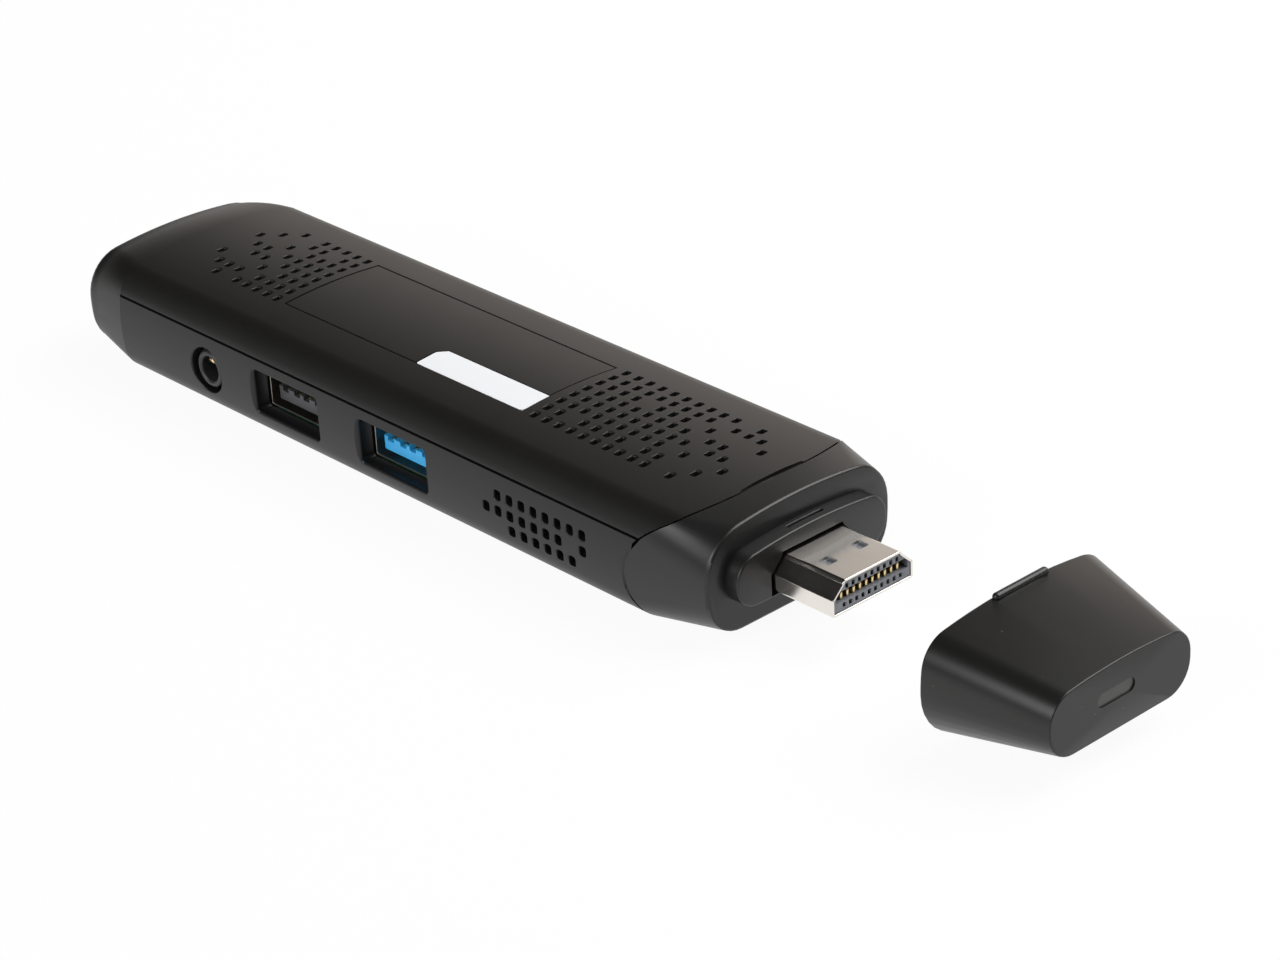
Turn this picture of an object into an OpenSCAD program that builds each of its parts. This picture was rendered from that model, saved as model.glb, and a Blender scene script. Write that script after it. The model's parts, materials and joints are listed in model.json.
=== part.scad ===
// HDMI stick computer with a pull-off cap. Millimetres.
// +X runs along the stick to the plug, -Y is the side with the ports, +Z is up.
// The origin is under the middle of the whole outline, cap included, on the ground.
// Names that end in _back are distances behind the front edge of the plug.

/* [Body] */
// Width across the bowed sides
body_w = 34; // [33:0.5:37]
// Height from the flat underside to the crown
body_h = 16.5; // [16:0.1:18]
// Length from the tail to the front edge of the plug
stick_l = 140.4; // [138:0.2:150]
// Wall of the shells
wall = 1.5; // [1.2:0.1:1.7]
// Radius of the crowned top
crown_r = 81; // [70:1:110]
// Radius of the bowed sides
side_r = 24; // [22:1:36]
// Height of the widest line of the sides
side_mid = 7.4; // [7:0.1:8]
// Radius of the upper shoulders
shoulder_r = 4.6; // [4.2:0.1:5]
// Radius of the lower edges
edge_r = 3.9; // [3.6:0.1:4.4]
// Height of the seam between the housing and the cover
parting_z = 12.9; // [12.5:0.1:13.2]
// Width of the groove that shows along the seams
seam_gap = 0.3; // [0.2:0.05:0.4]
// Play between pieces that slip together
fit_gap = 0.15; // [0.1:0.01:0.2]

/* [Tail] */
// Length of the tapered tail
tail_l = 10.6; // [9.5:0.1:13]
// Pull-in of each side towards the end of the tail
tail_in = 1.4; // [0.8:0.1:2]
// Drop of the crown towards the end of the tail
tail_drop = 1.35; // [0.8:0.05:1.6]
// Rise of the underside towards the end of the tail
tail_rise = 0.5; // [0.3:0.1:1.2]
// Rounding of the tail edge
tail_edge_r = 2.2; // [1.4:0.1:2.4]

/* [Nose] */
// Middle of the curved nose seam
seam_back = 16.55; // [16:0.05:17]
// Radius of the curved nose seam
seam_r = 45; // [35:0.5:60]
// Face of the collar
rim_back = 12.3; // [12:0.1:12.8]
// Pull-in of each side at the face of the collar
rim_in = 1.3; // [1:0.05:1.8]
// Drop of the crown at the face of the collar
rim_drop = 0.6; // [0.4:0.05:1]
// Rise of the underside at the face of the collar
rim_rise = 0.9; // [0.5:0.05:1.2]
// Face of the oblong bezel round the plug
bezel_back = 10; // [9.6:0.1:10.4]
// Pull-in of each side of the bezel from the widest line
bezel_in = 4.1; // [3.8:0.1:4.6]
// Height of the bezel
bezel_h = 7.7; // [7:0.1:8]
// Height of the middle of the bezel above the ground
bezel_z = 8.72; // [8.5:0.02:9]

/* [Cap] */
// Length of the cap
cap_l = 16.6; // [16:0.05:19]
// Pull-in of each side at its mouth
cap_in = 1.2; // [0.8:0.05:1.6]
// Drop of the crown at its mouth
cap_drop = 0.55; // [0.4:0.05:1]
// Rise of the underside at its mouth
cap_rise = 0.9; // [0.6:0.05:1.2]
// Pull-in of each side at its small end
cap_end_in = 4.8; // [4:0.05:5.5]
// Height of its small end
cap_end_h = 9.1; // [8:0.05:9.5]
// Height of the middle of the small end above the ground
cap_end_z = 8.21; // [7.9:0.01:8.4]
// Wall of the cap
cap_wall = 1.4; // [1.2:0.1:1.6]
// Distance by which the cap is pulled off
cap_pull = 34.6; // [30:0.1:40]
// Width of the grip lip on the rim of the cap
grip_w = 9.2; // [7:0.1:10]
// Radius of the rounded grip lip
grip_r = 0.55; // [0.4:0.05:0.7]
// Offset of the grip lip from the middle
grip_y = 0.8; // [0:0.1:1.5]
// Length of the shallow slot in its small end
end_slot_l = 6.4; // [5:0.1:8]
// Offset of the shallow slot from the middle
end_slot_y = -0.9; // [-1.5:0.1:0]

/* [Vents] */
// Pitch of the vent holes both ways
vent_pitch = 2.272; // [2.2:0.002:2.35]
// Size of a vent hole along the stick
vent_hole = 0.94; // [0.8:0.02:1.2]
// Size of a vent hole across the stick
vent_hole_w = 1.36; // [1.2:0.02:1.6]
// Width of a hole of the side grille
grille_hole_w = 1.2; // [1:0.05:1.4]
// Column zero of the near field
near_back = 33.51; // [33:0.01:34]
// Column zero of the far field
far_back = 109.17; // [108.5:0.01:109.6]
// Height of the lowest row of the side grille
grille_z = 4.32; // [4.2:0.02:4.6]
// Height of a hole of the side grille
grille_hole_h = 1.35; // [1.2:0.05:1.7]

/* [Label] */
// Front end of the label recess
label_back = 53.7; // [53.5:0.1:54.5]
// Length of the label recess
label_l = 48.9; // [46:0.1:49.5]
// Width of the label recess
label_w = 16.6; // [15:0.1:17]
// Depth of the label recess
label_depth = 0.3; // [0.2:0.05:0.4]
// Gap round the film in its recess
label_gap = 0.25; // [0.05:0.05:0.4]
// Length of the white sticker
sticker_l = 21.1; // [18:0.1:24]
// Width of the white sticker
sticker_w = 4.75; // [4:0.05:6]

/* [Board] */
// Top of the circuit board above the ground
board_z = 4.15; // [4.1:0.01:4.25]
// Thickness of the circuit board
board_t = 1; // [0.8:0.1:1.2]
// Distance of the board edge from the widest line of the body
board_in = 3.4; // [3.2:0.1:3.8]
// Front end of the circuit board
board_back = 19; // [18.5:0.1:19.5]
// Distance from the tail to the circuit board
board_tail = 8.4; // [7:0.1:10]
// Side of the processor
soc_w = 13; // [11:0.1:14]
// Length of a memory chip across the stick
memory_l = 10; // [8:0.1:11]
// Width of a memory chip
memory_w = 6; // [5:0.1:7]
// Length of the storage chip along the stick
storage_l = 11.5; // [9:0.1:12]
// Width of the storage chip
storage_w = 10; // [8:0.1:10.5]
// Length of the radio module
module_l = 12; // [10:0.1:12.5]
// Width of the radio module
module_w = 11; // [9:0.1:12]
// Side of a choke
choke_w = 3.6; // [3:0.1:4]
// Height of the chips
chip_h = 1; // [0.8:0.05:1.05]
// Thickness of the thermal pad
pad_t = 0.3; // [0.2:0.05:0.5]
// Thickness of the heat spreader
plate_t = 0.8; // [0.6:0.1:1]

/* [Blower] */
// Distance of the spin axis behind the plug front
fan_back = 41.5; // [41:0.1:42]
// Distance of the spin axis from the middle plane
fan_y = 1.2; // [1:0.1:1.4]
// Distance of the square frame from the widest line of the body
fan_in = 4; // [3.9:0.1:4.4]
// Height of the blower
fan_h = 5; // [4.8:0.1:5.2]
// Rim left round the impeller by the frame
fan_rim = 2.6; // [2.3:0.1:3.5]
// Number of blades
fan_blades = 17; // [11:1:21]
// Radius of the spindle
spindle_r = 0.75; // [0.6:0.05:0.9]

/* [Plug] */
// Width of the plug shell
plug_w = 13.9; // [13.7:0.05:14.1]
// Height of the plug shell
plug_h = 4.45; // [4.4:0.05:4.5]
// Underside of the plug shell above the ground
plug_z = 5.68; // [5.6:0.02:5.8]
// Sheet thickness of the shells
sheet = 0.32; // [0.25:0.01:0.35]
// Length of the contacts in the plug
plug_contact_l = 5.6; // [4.5:0.1:6]
// Distance of the contacts behind the front edge of the plug
plug_set = 0.55; // [0.4:0.05:1.5]

/* [Ports] */
// Middle of the blue USB socket
usb3_back = 70.6; // [70:0.1:71]
// Middle of the dark USB socket
usb2_back = 92.9; // [92.5:0.1:93.2]
// Outer width of a USB shell
usb_w = 13.1; // [12.9:0.05:13.2]
// Outer height of a USB shell
usb_h = 5.7; // [5.6:0.05:5.8]
// Length of a USB shell
usb_l = 13; // [12:0.1:13.4]
// Depth of a USB shell behind the widest line of the wall
usb_deep = 2.7; // [2.4:0.1:3.2]
// Thickness of the tongue of a USB socket
tongue_t = 2; // [1.8:0.05:2.2]
// Pull-in of each side of the tongue
tongue_in = 1.1; // [0.6:0.1:1.4]
// Margin of the window round a USB shell
usb_margin = 0.25; // [0.2:0.01:0.3]
// Middle of the headphone socket
jack_back = 110.3; // [110:0.1:110.6]
// Height of the middle of the headphone socket
jack_z = 6.6; // [6.5:0.05:6.8]
// Radius of the bore of the headphone socket
jack_r = 1.8; // [1.75:0.05:1.85]
// Radius of the barrel of the headphone socket
jack_barrel_r = 2.7; // [2.6:0.05:2.8]
// Radius of the round recess in the wall
jack_hole_r = 3.3; // [3.1:0.05:3.5]
// Middle of the power inlet on the far side
inlet_back = 116; // [115.5:0.1:116.5]
// Width of the power inlet
inlet_w = 7.6; // [7.4:0.1:7.8]
// Height of the power inlet
inlet_h = 2.8; // [2.7:0.05:3]

/* [Button] */
// Middle of the power button on the far side
button_back = 88; // [87.5:0.1:88.5]
// Height of the middle of the power button
button_z = 8.4; // [8.2:0.05:8.6]
// Width of the power button
button_w = 9; // [8:0.1:10]
// Height of the power button
button_h = 3.2; // [3:0.05:3.4]
// Travel of the power button
button_travel = 0.4; // [0.25:0.05:0.5]
// Position of the light behind the plug front
light_back = 97.6; // [97.2:0.1:98]

/* [Hidden] */
$fn = 48;

// Stations along the stick are given for this length and stretch with it.
drawn_l = 140.4;
stretch = stick_l / drawn_l;
function at(back) = -back * stretch;

half_w = body_w / 2;
bezel_w = body_w - 2 * bezel_in;
board_w = body_w - 2 * board_in;
fan_w = body_w - 2 * fan_in;
fan_r = fan_w / 2 - fan_rim;
rim_x = -rim_back;
tail_x = -stick_l;
crease_x = tail_x + tail_l;
cap_seat = 0.2;
cap_x = rim_x + cap_seat + cap_pull;
cap_end_x = cap_x + cap_l;
front_x = (stick_l - cap_end_x) / 2;

// Sections are given as half width, underside, top, shoulder radius, lower radius, widest height.
body_s = [half_w, 0, body_h, shoulder_r, edge_r, side_mid];
rim_s = [half_w - rim_in, rim_rise, body_h - rim_drop, shoulder_r + 1.8, edge_r + 1.5, side_mid + 1];
tail_s = [half_w - tail_in, tail_rise, body_h - tail_drop, shoulder_r + 1.7, edge_r + 1.2, side_mid + 0.3];
mouth_s = [half_w - cap_in, cap_rise, body_h - cap_drop, shoulder_r - 0.2, edge_r + 3.3, side_mid + 0.75];
cap_s = [half_w - cap_end_in, cap_end_z - cap_end_h / 2, cap_end_z + cap_end_h / 2, 3.8, 4, cap_end_z];

function seam_x(y) = -seam_back - seam_r + sqrt(seam_r * seam_r - y * y);
// Section of the tail, from 0 at the crease to 1 at its end. The top bends down gently.
function tail_at(t) = [for (i = [0 : 5]) body_s[i] + (tail_s[i] - body_s[i]) * (i == 2 ? t * t : t)];
function tail_ring_x(t) = crease_x + (tail_x + tail_edge_r - crease_x) * t;

function angle(v) = atan2(v[1], v[0]);
function crown_c(s) = [0, s[2] - crown_r];
function side_c(s) = [s[0] - side_r, s[5]];
function low_c(s) = [s[0] - side_r + sqrt(pow(side_r - s[4], 2) - pow(s[1] + s[4] - s[5], 2)), s[1] + s[4]];

// Centre of the shoulder arc, which touches the crown and the side from inside.
function high_c(s) = let(
        a = crown_c(s),
        d = side_c(s) - a,
        l = norm(d),
        u = d / l,
        ra = crown_r - s[3],
        rb = side_r - s[3],
        m = (ra * ra - rb * rb + l * l) / (2 * l)
    ) a + m * u + sqrt(ra * ra - m * m) * [u[1], -u[0]];

function arc(c, r, from, to, n) = [for (i = [0 : n - 1])
    c + r * [cos(from + (to - from) * i / n), sin(from + (to - from) * i / n)]];

function half_ring(s, inset, under) = let(
        low = low_c(s),
        high = high_c(s),
        a = angle(low - side_c(s)),
        b = angle(high - side_c(s)),
        c = angle(high - crown_c(s))
    ) concat(
        [for (i = [0 : 1 : under - 1]) [low[0] * i / under, s[1] + inset]],
        arc(low, s[4] - inset, -90, a, 8),
        arc(side_c(s), side_r - inset, a, b, 5),
        arc(high, s[3] - inset, b, c, 9),
        arc(crown_c(s), crown_r - inset, c, 90, 5));

// Closed outline of a section, pulled in by inset, with under points on each half of the underside.
function ring(s, inset = 0, under = 0) = let(h = half_ring(s, inset, under), n = len(h))
    concat(h, [[0, s[2] - inset]], [for (i = [n - 1 : -1 : min(under, 1)]) [-h[i][0], h[i][1]]]);

function ring_at(x, s, inset = 0, under = 0) = [for (p = ring(s, inset, under)) [x, p[0], p[1]]];
function ring_seam(gap, s, inset, under) =
    [for (p = ring(s, inset, under)) [seam_x(p[0]) + gap, p[0], p[1]]];

// Skin over a list of outlines with equal counts, capped at both ends or closed on itself.
module skin(rings, loop = false) {
    n = len(rings[0]);
    m = len(rings);
    pts = [for (r = rings) for (p = r) p];
    walls = [for (i = [0 : loop ? m - 1 : m - 2]) for (j = [0 : n - 1])
        let(k = (j + 1) % n, a = i * n, b = ((i + 1) % m) * n)
        for (t = [[a + j, b + k, a + k], [a + j, b + j, b + k]]) t];
    caps = loop ? [] : [[for (j = [0 : n - 1]) j], [for (j = [n - 1 : -1 : 0]) (m - 1) * n + j]];
    polyhedron(pts, concat(walls, caps), convexity = 8);
}

module place() {
    translate([front_x, 0, 0])
        children();
}

// Outline in Y and Z, pushed along X.
module along_x(x0, x1) {
    translate([x0, 0, 0])
        rotate([90, 0, 90])
            linear_extrude(x1 - x0)
                children();
}

// Outline in X and Z, pushed along Y.
module along_y(y0, y1) {
    translate([0, y1, 0])
        rotate([90, 0, 0])
            linear_extrude(y1 - y0)
                children();
}

module box(x0, x1, y0, y1, z0, z1) {
    translate([x0, y0, z0])
        cube([x1 - x0, y1 - y0, z1 - z0]);
}

module rod_y(x, z, y0, y1, r) {
    translate([x, y1, z])
        rotate([90, 0, 0])
            cylinder(r = r, h = y1 - y0);
}

module rod_z(x, y, z0, z1, r) {
    translate([x, y, z0])
        cylinder(r = r, h = z1 - z0);
}

// Oblong with round ends, centred.
module oblong(w, h) {
    square([w - h, h], center = true);
    for (s = [-1, 1])
        translate([s * (w - h) / 2, 0])
            circle(d = h);
}

// Rectangle with cut corners, centred.
module cut_rect(w, h, c) {
    polygon([[c - w / 2, -h / 2], [w / 2 - c, -h / 2], [w / 2, c - h / 2], [w / 2, h / 2 - c],
        [w / 2 - c, h / 2], [c - w / 2, h / 2], [-w / 2, h / 2 - c], [-w / 2, c - h / 2]]);
}

// Everything in front of the curved nose seam.
module ahead_of_seam() {
    difference() {
        box(-seam_back - seam_r, 0, -body_w, body_w, -5, body_h + 5);
        rod_z(-seam_back - seam_r, 0, -6, body_h + 6, seam_r);
    }
}

near_rows = ["##########.#..", "##.####.##..#.", "#########.#..#", "##########.##.",
    "#########.##..", "####.###.#...#", "#########.###.", "##########.#.."];
near_first = -8;
far_cols = 9;

// The far field is the nose end of the near field turned half round.
module vent_fields() {
    rows = len(near_rows);
    cols = len(near_rows[0]);
    step = vent_pitch * stretch;
    for (j = [0 : rows - 1])
        for (i = [0 : cols - 1])
            if (near_rows[j][i] == "#")
                translate([at(near_back) + (near_first + i) * step, (j - (rows - 1) / 2) * vent_pitch])
                    cut_rect(vent_hole, vent_hole_w, vent_hole / 4);
    for (j = [0 : rows - 1])
        for (i = [0 : far_cols - 1])
            if (near_rows[j][cols - far_cols + i] == "#")
                translate([at(far_back) + (2 - i) * step, ((rows - 1) / 2 - j) * vent_pitch])
                    cut_rect(vent_hole, vent_hole_w, vent_hole / 4);
}

grille_rows = [[-6, -5, -4, -3, -2, -1], [-8, -7, -6, -5, -4, -3, -2, 0], [-7, -6, -5, -4, -3, -2, -1, 0]];

module side_grille() {
    for (r = [0 : len(grille_rows) - 1])
        for (i = grille_rows[r])
            translate([at(near_back) + i * vent_pitch * stretch, grille_z + r * vent_pitch])
                cut_rect(grille_hole_w, grille_hole_h, grille_hole_w / 4);
}

screw_y = half_w - 6.5;
screw_spots = [for (x = [crease_x + 3.9, -board_back - 6.6]) for (s = [-1, 1]) [x, s * screw_y]];
screw_r = 0.55;
usb_front = -half_w + usb_deep;
usb_mid_z = board_z + usb_h / 2;
jack_front = -half_w + 0.6;
far_wall = half_w - wall;
inlet_front = half_w - 1.3;
inlet_l = 5.4;
lug_z = board_z - board_t;

module usb_window(back) {
    w = usb_w + 2 * usb_margin;
    h = usb_h + 2 * usb_margin;
    along_y(-body_w, usb_front + 0.05)
        translate([at(back), usb_mid_z])
            cut_rect(w, h, 0.5);
}

module usb_frame(back) {
    w = usb_w / 2 + usb_margin + 1.1;
    h = usb_h / 2 + usb_margin + 0.9;
    box(at(back) - w, at(back) + w, -half_w + wall * 0.7, usb_front, usb_mid_z - h, usb_mid_z + h);
}

module main_housing() {
    color([0.25, 0.24, 0.25])
        place()
            difference() {
                union() {
                    difference() {
                        along_x(crease_x, -seam_back)
                            polygon(ring(body_s));
                        along_x(crease_x - 1, 0)
                            polygon(ring(body_s, wall));
                        box(-stick_l, 0, -body_w, body_w, parting_z, body_h + 5);
                        ahead_of_seam();
                    }
                    for (b = [usb3_back, usb2_back])
                        usb_frame(b);
                    for (p = screw_spots)
                        rod_z(p[0], p[1], wall * 0.6, lug_z, 2);
                    box(at(102), at(58), -1, 1, wall * 0.6, lug_z);
                }
                for (b = [usb3_back, usb2_back])
                    usb_window(b);
                for (p = screw_spots)
                    rod_z(p[0], p[1], wall * 0.8, lug_z + 1, screw_r + 0.05);
                rod_y(at(jack_back), jack_z, -body_w, -half_w + 3, jack_hole_r);
                along_y(-half_w - 2, -half_w + 3)
                    side_grille();
                along_y(half_w - 3, half_w + 2)
                    translate([at(inlet_back), board_z + inlet_h / 2])
                        cut_rect(inlet_w + 0.8, inlet_h + 0.8, 0.8);
                along_y(half_w - 3, half_w + 2)
                    translate([at(button_back), button_z])
                        oblong(button_w + 2 * fit_gap, button_h + 2 * fit_gap);
                rod_y(at(light_back), board_z + 2.2, half_w - 3, half_w + 2, 0.8);
            }
}

module label_cut(x0, x1, w, depth) {
    difference() {
        box(x0, x1, -w / 2, w / 2, body_h - 3, body_h + 2);
        along_x(x0 - 1, x1 + 1)
            polygon(ring(body_s, depth));
    }
}

module vent_cover() {
    e = tail_edge_r;
    color([0.22, 0.21, 0.2])
        place()
            difference() {
                union() {
                    difference() {
                        skin([
                            for (a = [90, 70, 50, 30, 12])
                                ring_at(tail_x + e * (1 - sin(a)), tail_s, e * (1 - cos(a))),
                            for (t = [1, 0.8, 0.6, 0.4, 0.2, 0])
                                ring_at(tail_ring_x(t), tail_at(t)),
                            ring_at(-seam_back + 2, body_s),
                            ring_at(-seam_back + 2, body_s, wall),
                            for (t = [0, 0.25, 0.5, 0.75, 1])
                                ring_at(t == 1 ? tail_x + wall : tail_ring_x(t), tail_at(t), wall)
                        ]);
                        box(crease_x, 0, -body_w, body_w, -5, parting_z);
                        ahead_of_seam();
                    }
                    for (s = [-1, 1])
                        intersection() {
                            box(crease_x + 4, -30, s * half_w - 5, s * half_w + 5, parting_z - 1,
                                parting_z + 1);
                            difference() {
                                along_x(crease_x + 4, -30)
                                    polygon(ring(body_s, wall + fit_gap));
                                along_x(crease_x, 0)
                                    polygon(ring(body_s, wall + 1.2));
                            }
                        }
                    for (s = [-1, 1])
                        intersection() {
                            box(crease_x + 4, -30, s * half_w - 5, s * half_w + 5, parting_z,
                                parting_z + 0.8);
                            difference() {
                                along_x(crease_x + 4, -30)
                                    polygon(ring(body_s, wall - 0.3));
                                along_x(crease_x, 0)
                                    polygon(ring(body_s, wall + 1.2));
                            }
                        }
                }
                translate([0, 0, body_h - 5])
                    linear_extrude(7)
                        vent_fields();
                label_cut(label_x0, label_x1, label_w, label_depth);
                difference() {
                    box(crease_x - 1, 0, -body_w, body_w, parting_z - 0.5, parting_z + seam_gap * 0.5);
                    along_x(crease_x - 2, 1)
                        polygon(ring(body_s, 0.6));
                    box(crease_x - 2, crease_x, -body_w, body_w, -5, body_h);
                }
                box(-seam_back - 0.6, 0, -5.3, 5.3, body_h - 0.7, body_h + 2);
            }
}

module nose_collar() {
    g = seam_gap;
    e = 0.45;
    u = 8;
    hole_s = [bezel_w / 2 - 2, bezel_z - bezel_h / 2 + 1, bezel_z + bezel_h / 2 - 1, 2.2, 2.2, bezel_z];
    b = 0.7;
    bezel_s = [bezel_w / 2, bezel_z - bezel_h / 2, bezel_z + bezel_h / 2, 3.4, 3.4, bezel_z];
    color([0.24, 0.235, 0.23])
        place()
            difference() {
                union() {
                    skin([
                        ring_seam(g, body_s, wall, u),
                        ring_seam(g, body_s, 0, u),
                        ring_at(rim_x - e, rim_s, 0, u),
                        ring_at(rim_x - e / 3, rim_s, e / 4, u),
                        ring_at(rim_x, rim_s, e, u),
                        ring_at(rim_x, hole_s, 0, u),
                        ring_at(rim_x - wall, hole_s, 0, u),
                        ring_at(rim_x - wall, rim_s, wall, u)
                    ], loop = true);
                    skin([
                        ring_at(rim_x - wall, bezel_s),
                        for (a = [0, 25, 45, 65, 90])
                            ring_at(-bezel_back - b * (1 - sin(a)), bezel_s, b * (1 - cos(a)))
                    ]);
                    for (s = [-1, 1])
                        intersection() {
                            box(-28, rim_x - wall - 0.3, s * half_w - 5, s * half_w + 5, edge_r,
                                parting_z - 1.6);
                            difference() {
                                along_x(-28, rim_x - wall - 0.3)
                                    polygon(ring(body_s, wall + fit_gap));
                                along_x(-29, 0)
                                    polygon(ring(body_s, wall + 1.15));
                            }
                        }
                }
                along_x(-stick_l, 0)
                    plug_section(-0.35);
                box(-bezel_back - 1.7, -bezel_back - 1.1, -3.1, 3.1, bezel_z + bezel_h / 2 - 0.5, body_h);
            }
}

// Value of the cap's section at a distance behind its mouth.
function cap_at(i, x) = mouth_s[i] + (cap_s[i] - mouth_s[i]) * x / cap_l;

// Rib inside the cap that holds the bezel from above or below, sunk into the wall.
module cap_rib(y, z, i, side) {
    near = 0.5;
    far = 5;
    along_y(y - 0.5, y + 0.5)
        polygon([
            [cap_x + near, z],
            [cap_x + far, z],
            [cap_x + far, cap_at(i, far) - side * (cap_wall - 0.4)],
            [cap_x + near, cap_at(i, near) - side * (cap_wall - 0.4)]
        ]);
}

module grip_lip() {
    reach = grip_w / 2 - grip_r;
    translate([cap_x + grip_r, grip_y, body_h - grip_r]) {
        rod_y(0, 0, -reach, reach, grip_r, $fn = 20);
        for (s = [-1, 1])
            translate([0, s * reach, 0])
                sphere(grip_r, $fn = 20);
    }
}

module end_cap() {
    e = 0.2;
    mouth = bezel_h / 2 + fit_gap;
    color([0.24, 0.23, 0.22])
        place()
            difference() {
                union() {
                    skin([
                        ring_at(cap_end_x - cap_wall - 0.2, cap_s, cap_wall),
                        ring_at(cap_x, mouth_s, cap_wall),
                        ring_at(cap_x, mouth_s, 0.3),
                        ring_at(cap_x + 0.1, mouth_s, 0.09),
                        ring_at(cap_x + 0.3, mouth_s),
                        ring_at(cap_end_x - e, cap_s),
                        ring_at(cap_end_x - e / 3, cap_s, e / 4),
                        ring_at(cap_end_x, cap_s, e)
                    ]);
                    for (y = [-7.5, 7.5])
                        cap_rib(y, bezel_z + mouth, 2, 1);
                    for (y = [-7.5, 7.5])
                        cap_rib(y, bezel_z - mouth, 1, -1);
                    for (s = [-1, 1])
                        box(cap_x + 0.5, cap_x + 4, s * (bezel_w / 2 + fit_gap + 0.75) - 0.75,
                            s * (bezel_w / 2 + fit_gap + 0.75) + 0.75, bezel_z - 0.5, bezel_z + 0.5);
                    grip_lip();
                }
                along_x(cap_end_x - 0.2, cap_end_x + 1)
                    translate([end_slot_y, cap_end_z + 0.4])
                        oblong(end_slot_l, 1.9);
            }
}

label_t = label_depth - 0.04;
label_x0 = at(label_back + label_l);
label_x1 = at(label_back);
sticker_x = at(label_back + sticker_l);
sticker_y = -label_w / 2 + sticker_w;

// Film between two depths under the crown, inside an outline in X and Y.
module crown_film(t) {
    difference() {
        intersection() {
            translate([0, 0, body_h - 2])
                linear_extrude(3)
                    children();
            along_x(label_x0 - 1, label_x1 + 1)
                polygon(ring(body_s, label_depth - t));
        }
        along_x(label_x0 - 2, label_x1 + 2)
            polygon(ring(body_s, label_depth));
    }
}

module rating_label() {
    m = label_gap;
    color([0.3, 0.29, 0.29])
        place()
            crown_film(label_t)
                polygon([
                    [label_x0 + m, -label_w / 2 + m],
                    [sticker_x - m, -label_w / 2 + m],
                    [sticker_x - m, sticker_y + m],
                    [label_x1 - m, sticker_y + m],
                    [label_x1 - m, label_w / 2 - m],
                    [label_x0 + m, label_w / 2 - m]
                ]);
}

module serial_sticker() {
    m = 0.06;
    color([0.93, 0.94, 0.95])
        place()
            crown_film(label_depth)
                polygon([
                    [sticker_x + m, -label_w / 2 + m],
                    [label_x1 - m, -label_w / 2 + m],
                    [label_x1 - m, sticker_y],
                    [sticker_x + 1.2, sticker_y],
                    [sticker_x + m, sticker_y - 1.2]
                ]);
}

module main_board() {
    color([0.06, 0.26, 0.16])
        place()
            difference() {
                box(tail_x + board_tail, -board_back, -board_w / 2, board_w / 2, lug_z, board_z);
                for (p = screw_spots)
                    rod_z(p[0], p[1], 0, body_h, 0.9);
            }
}

module board_screws() {
    color([0.72, 0.72, 0.74])
        place()
            for (p = screw_spots)
                difference() {
                    union() {
                        rod_z(p[0], p[1], wall + 0.3, board_z + 0.3, screw_r);
                        rod_z(p[0], p[1], board_z, board_z + 0.8, 1.5);
                    }
                    for (a = [0, 90])
                        translate([p[0], p[1], board_z + 0.8])
                            rotate([0, 0, a])
                                cube([1.7, 0.35, 0.7], center = true);
                }
}

module chip(x, y, w, l, h) {
    box(x - w / 2, x + w / 2, y - l / 2, y + l / 2, board_z, board_z + h);
}

usb_rear = usb_front + usb_l;
soc_x = at(usb3_back) - 0.4;
soc_side = min(soc_w, board_w / 2 - usb_rear - 1.5);
soc_y = usb_rear + 0.9 + soc_side / 2;
plate_z = board_z + chip_h + pad_t;
fan_z = plate_z + plate_t;
fan_x = at(fan_back);
fan_x0 = fan_x - fan_w / 2 - 0.5;
fan_x1 = fan_x0 + fan_w;
fan_y0 = fan_y - fan_w / 2 - 0.6;
fan_y1 = fan_y0 + fan_w;
fan_top = fan_z + fan_h;
bay_r = fan_r + 1.1;
fin_x0 = fan_x - bay_r;
fin_x1 = fan_x + 8;
fin_y0 = -half_w + wall + 0.5;

module soc_chip() {
    color([0.12, 0.12, 0.13])
        place() {
            chip(soc_x, soc_y, soc_side, soc_side, chip_h * 0.5);
            chip(soc_x, soc_y, soc_side - 4, soc_side - 4, chip_h);
        }
}

module thermal_pad() {
    color([0.55, 0.6, 0.68])
        place()
            translate([0, 0, chip_h])
                chip(soc_x, soc_y, soc_side - 4, soc_side - 4, pad_t);
}

module memory_chips() {
    x = at(usb3_back) + usb_w / 2 + 1.5 + memory_w / 2;
    color([0.1, 0.1, 0.11])
        place()
            for (s = [-1, 1])
                chip(x, s * (memory_l / 2 + 1.5), memory_w, memory_l, chip_h * 0.9);
}

module storage_chip() {
    color([0.1, 0.1, 0.11])
        place()
            chip(at(jack_back) + 5.3, usb_rear + 0.8 + storage_w / 2, storage_l, storage_w, chip_h);
}

module wifi_module() {
    x = at(inlet_back) - 5.5;
    color([0.75, 0.75, 0.72])
        place() {
            chip(x, -1, module_l, module_w, 0.6);
            chip(x, -1, module_l - 1.4, module_w - 1.4, 1.8);
        }
}

module wifi_antenna() {
    step = screw_y * 0.58;
    color([0.72, 0.5, 0.2])
        place()
            difference() {
                box(tail_x + wall, tail_x + wall + 0.4, -screw_y, screw_y, side_mid - 2.6, side_mid + 3.4);
                for (s = [-1, 0, 1])
                    box(tail_x, tail_x + 4, s * step - 2, s * step + 2, side_mid - 1.2, side_mid + 2);
            }
}

module voltage_chokes() {
    color([0.3, 0.3, 0.32])
        place() {
            for (y = [2.6, 7.4])
                chip(at(button_back) + 5, y, choke_w, choke_w, 2);
            chip(at(jack_back) + 7.2, -7, choke_w, choke_w, 2);
        }
}

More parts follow.
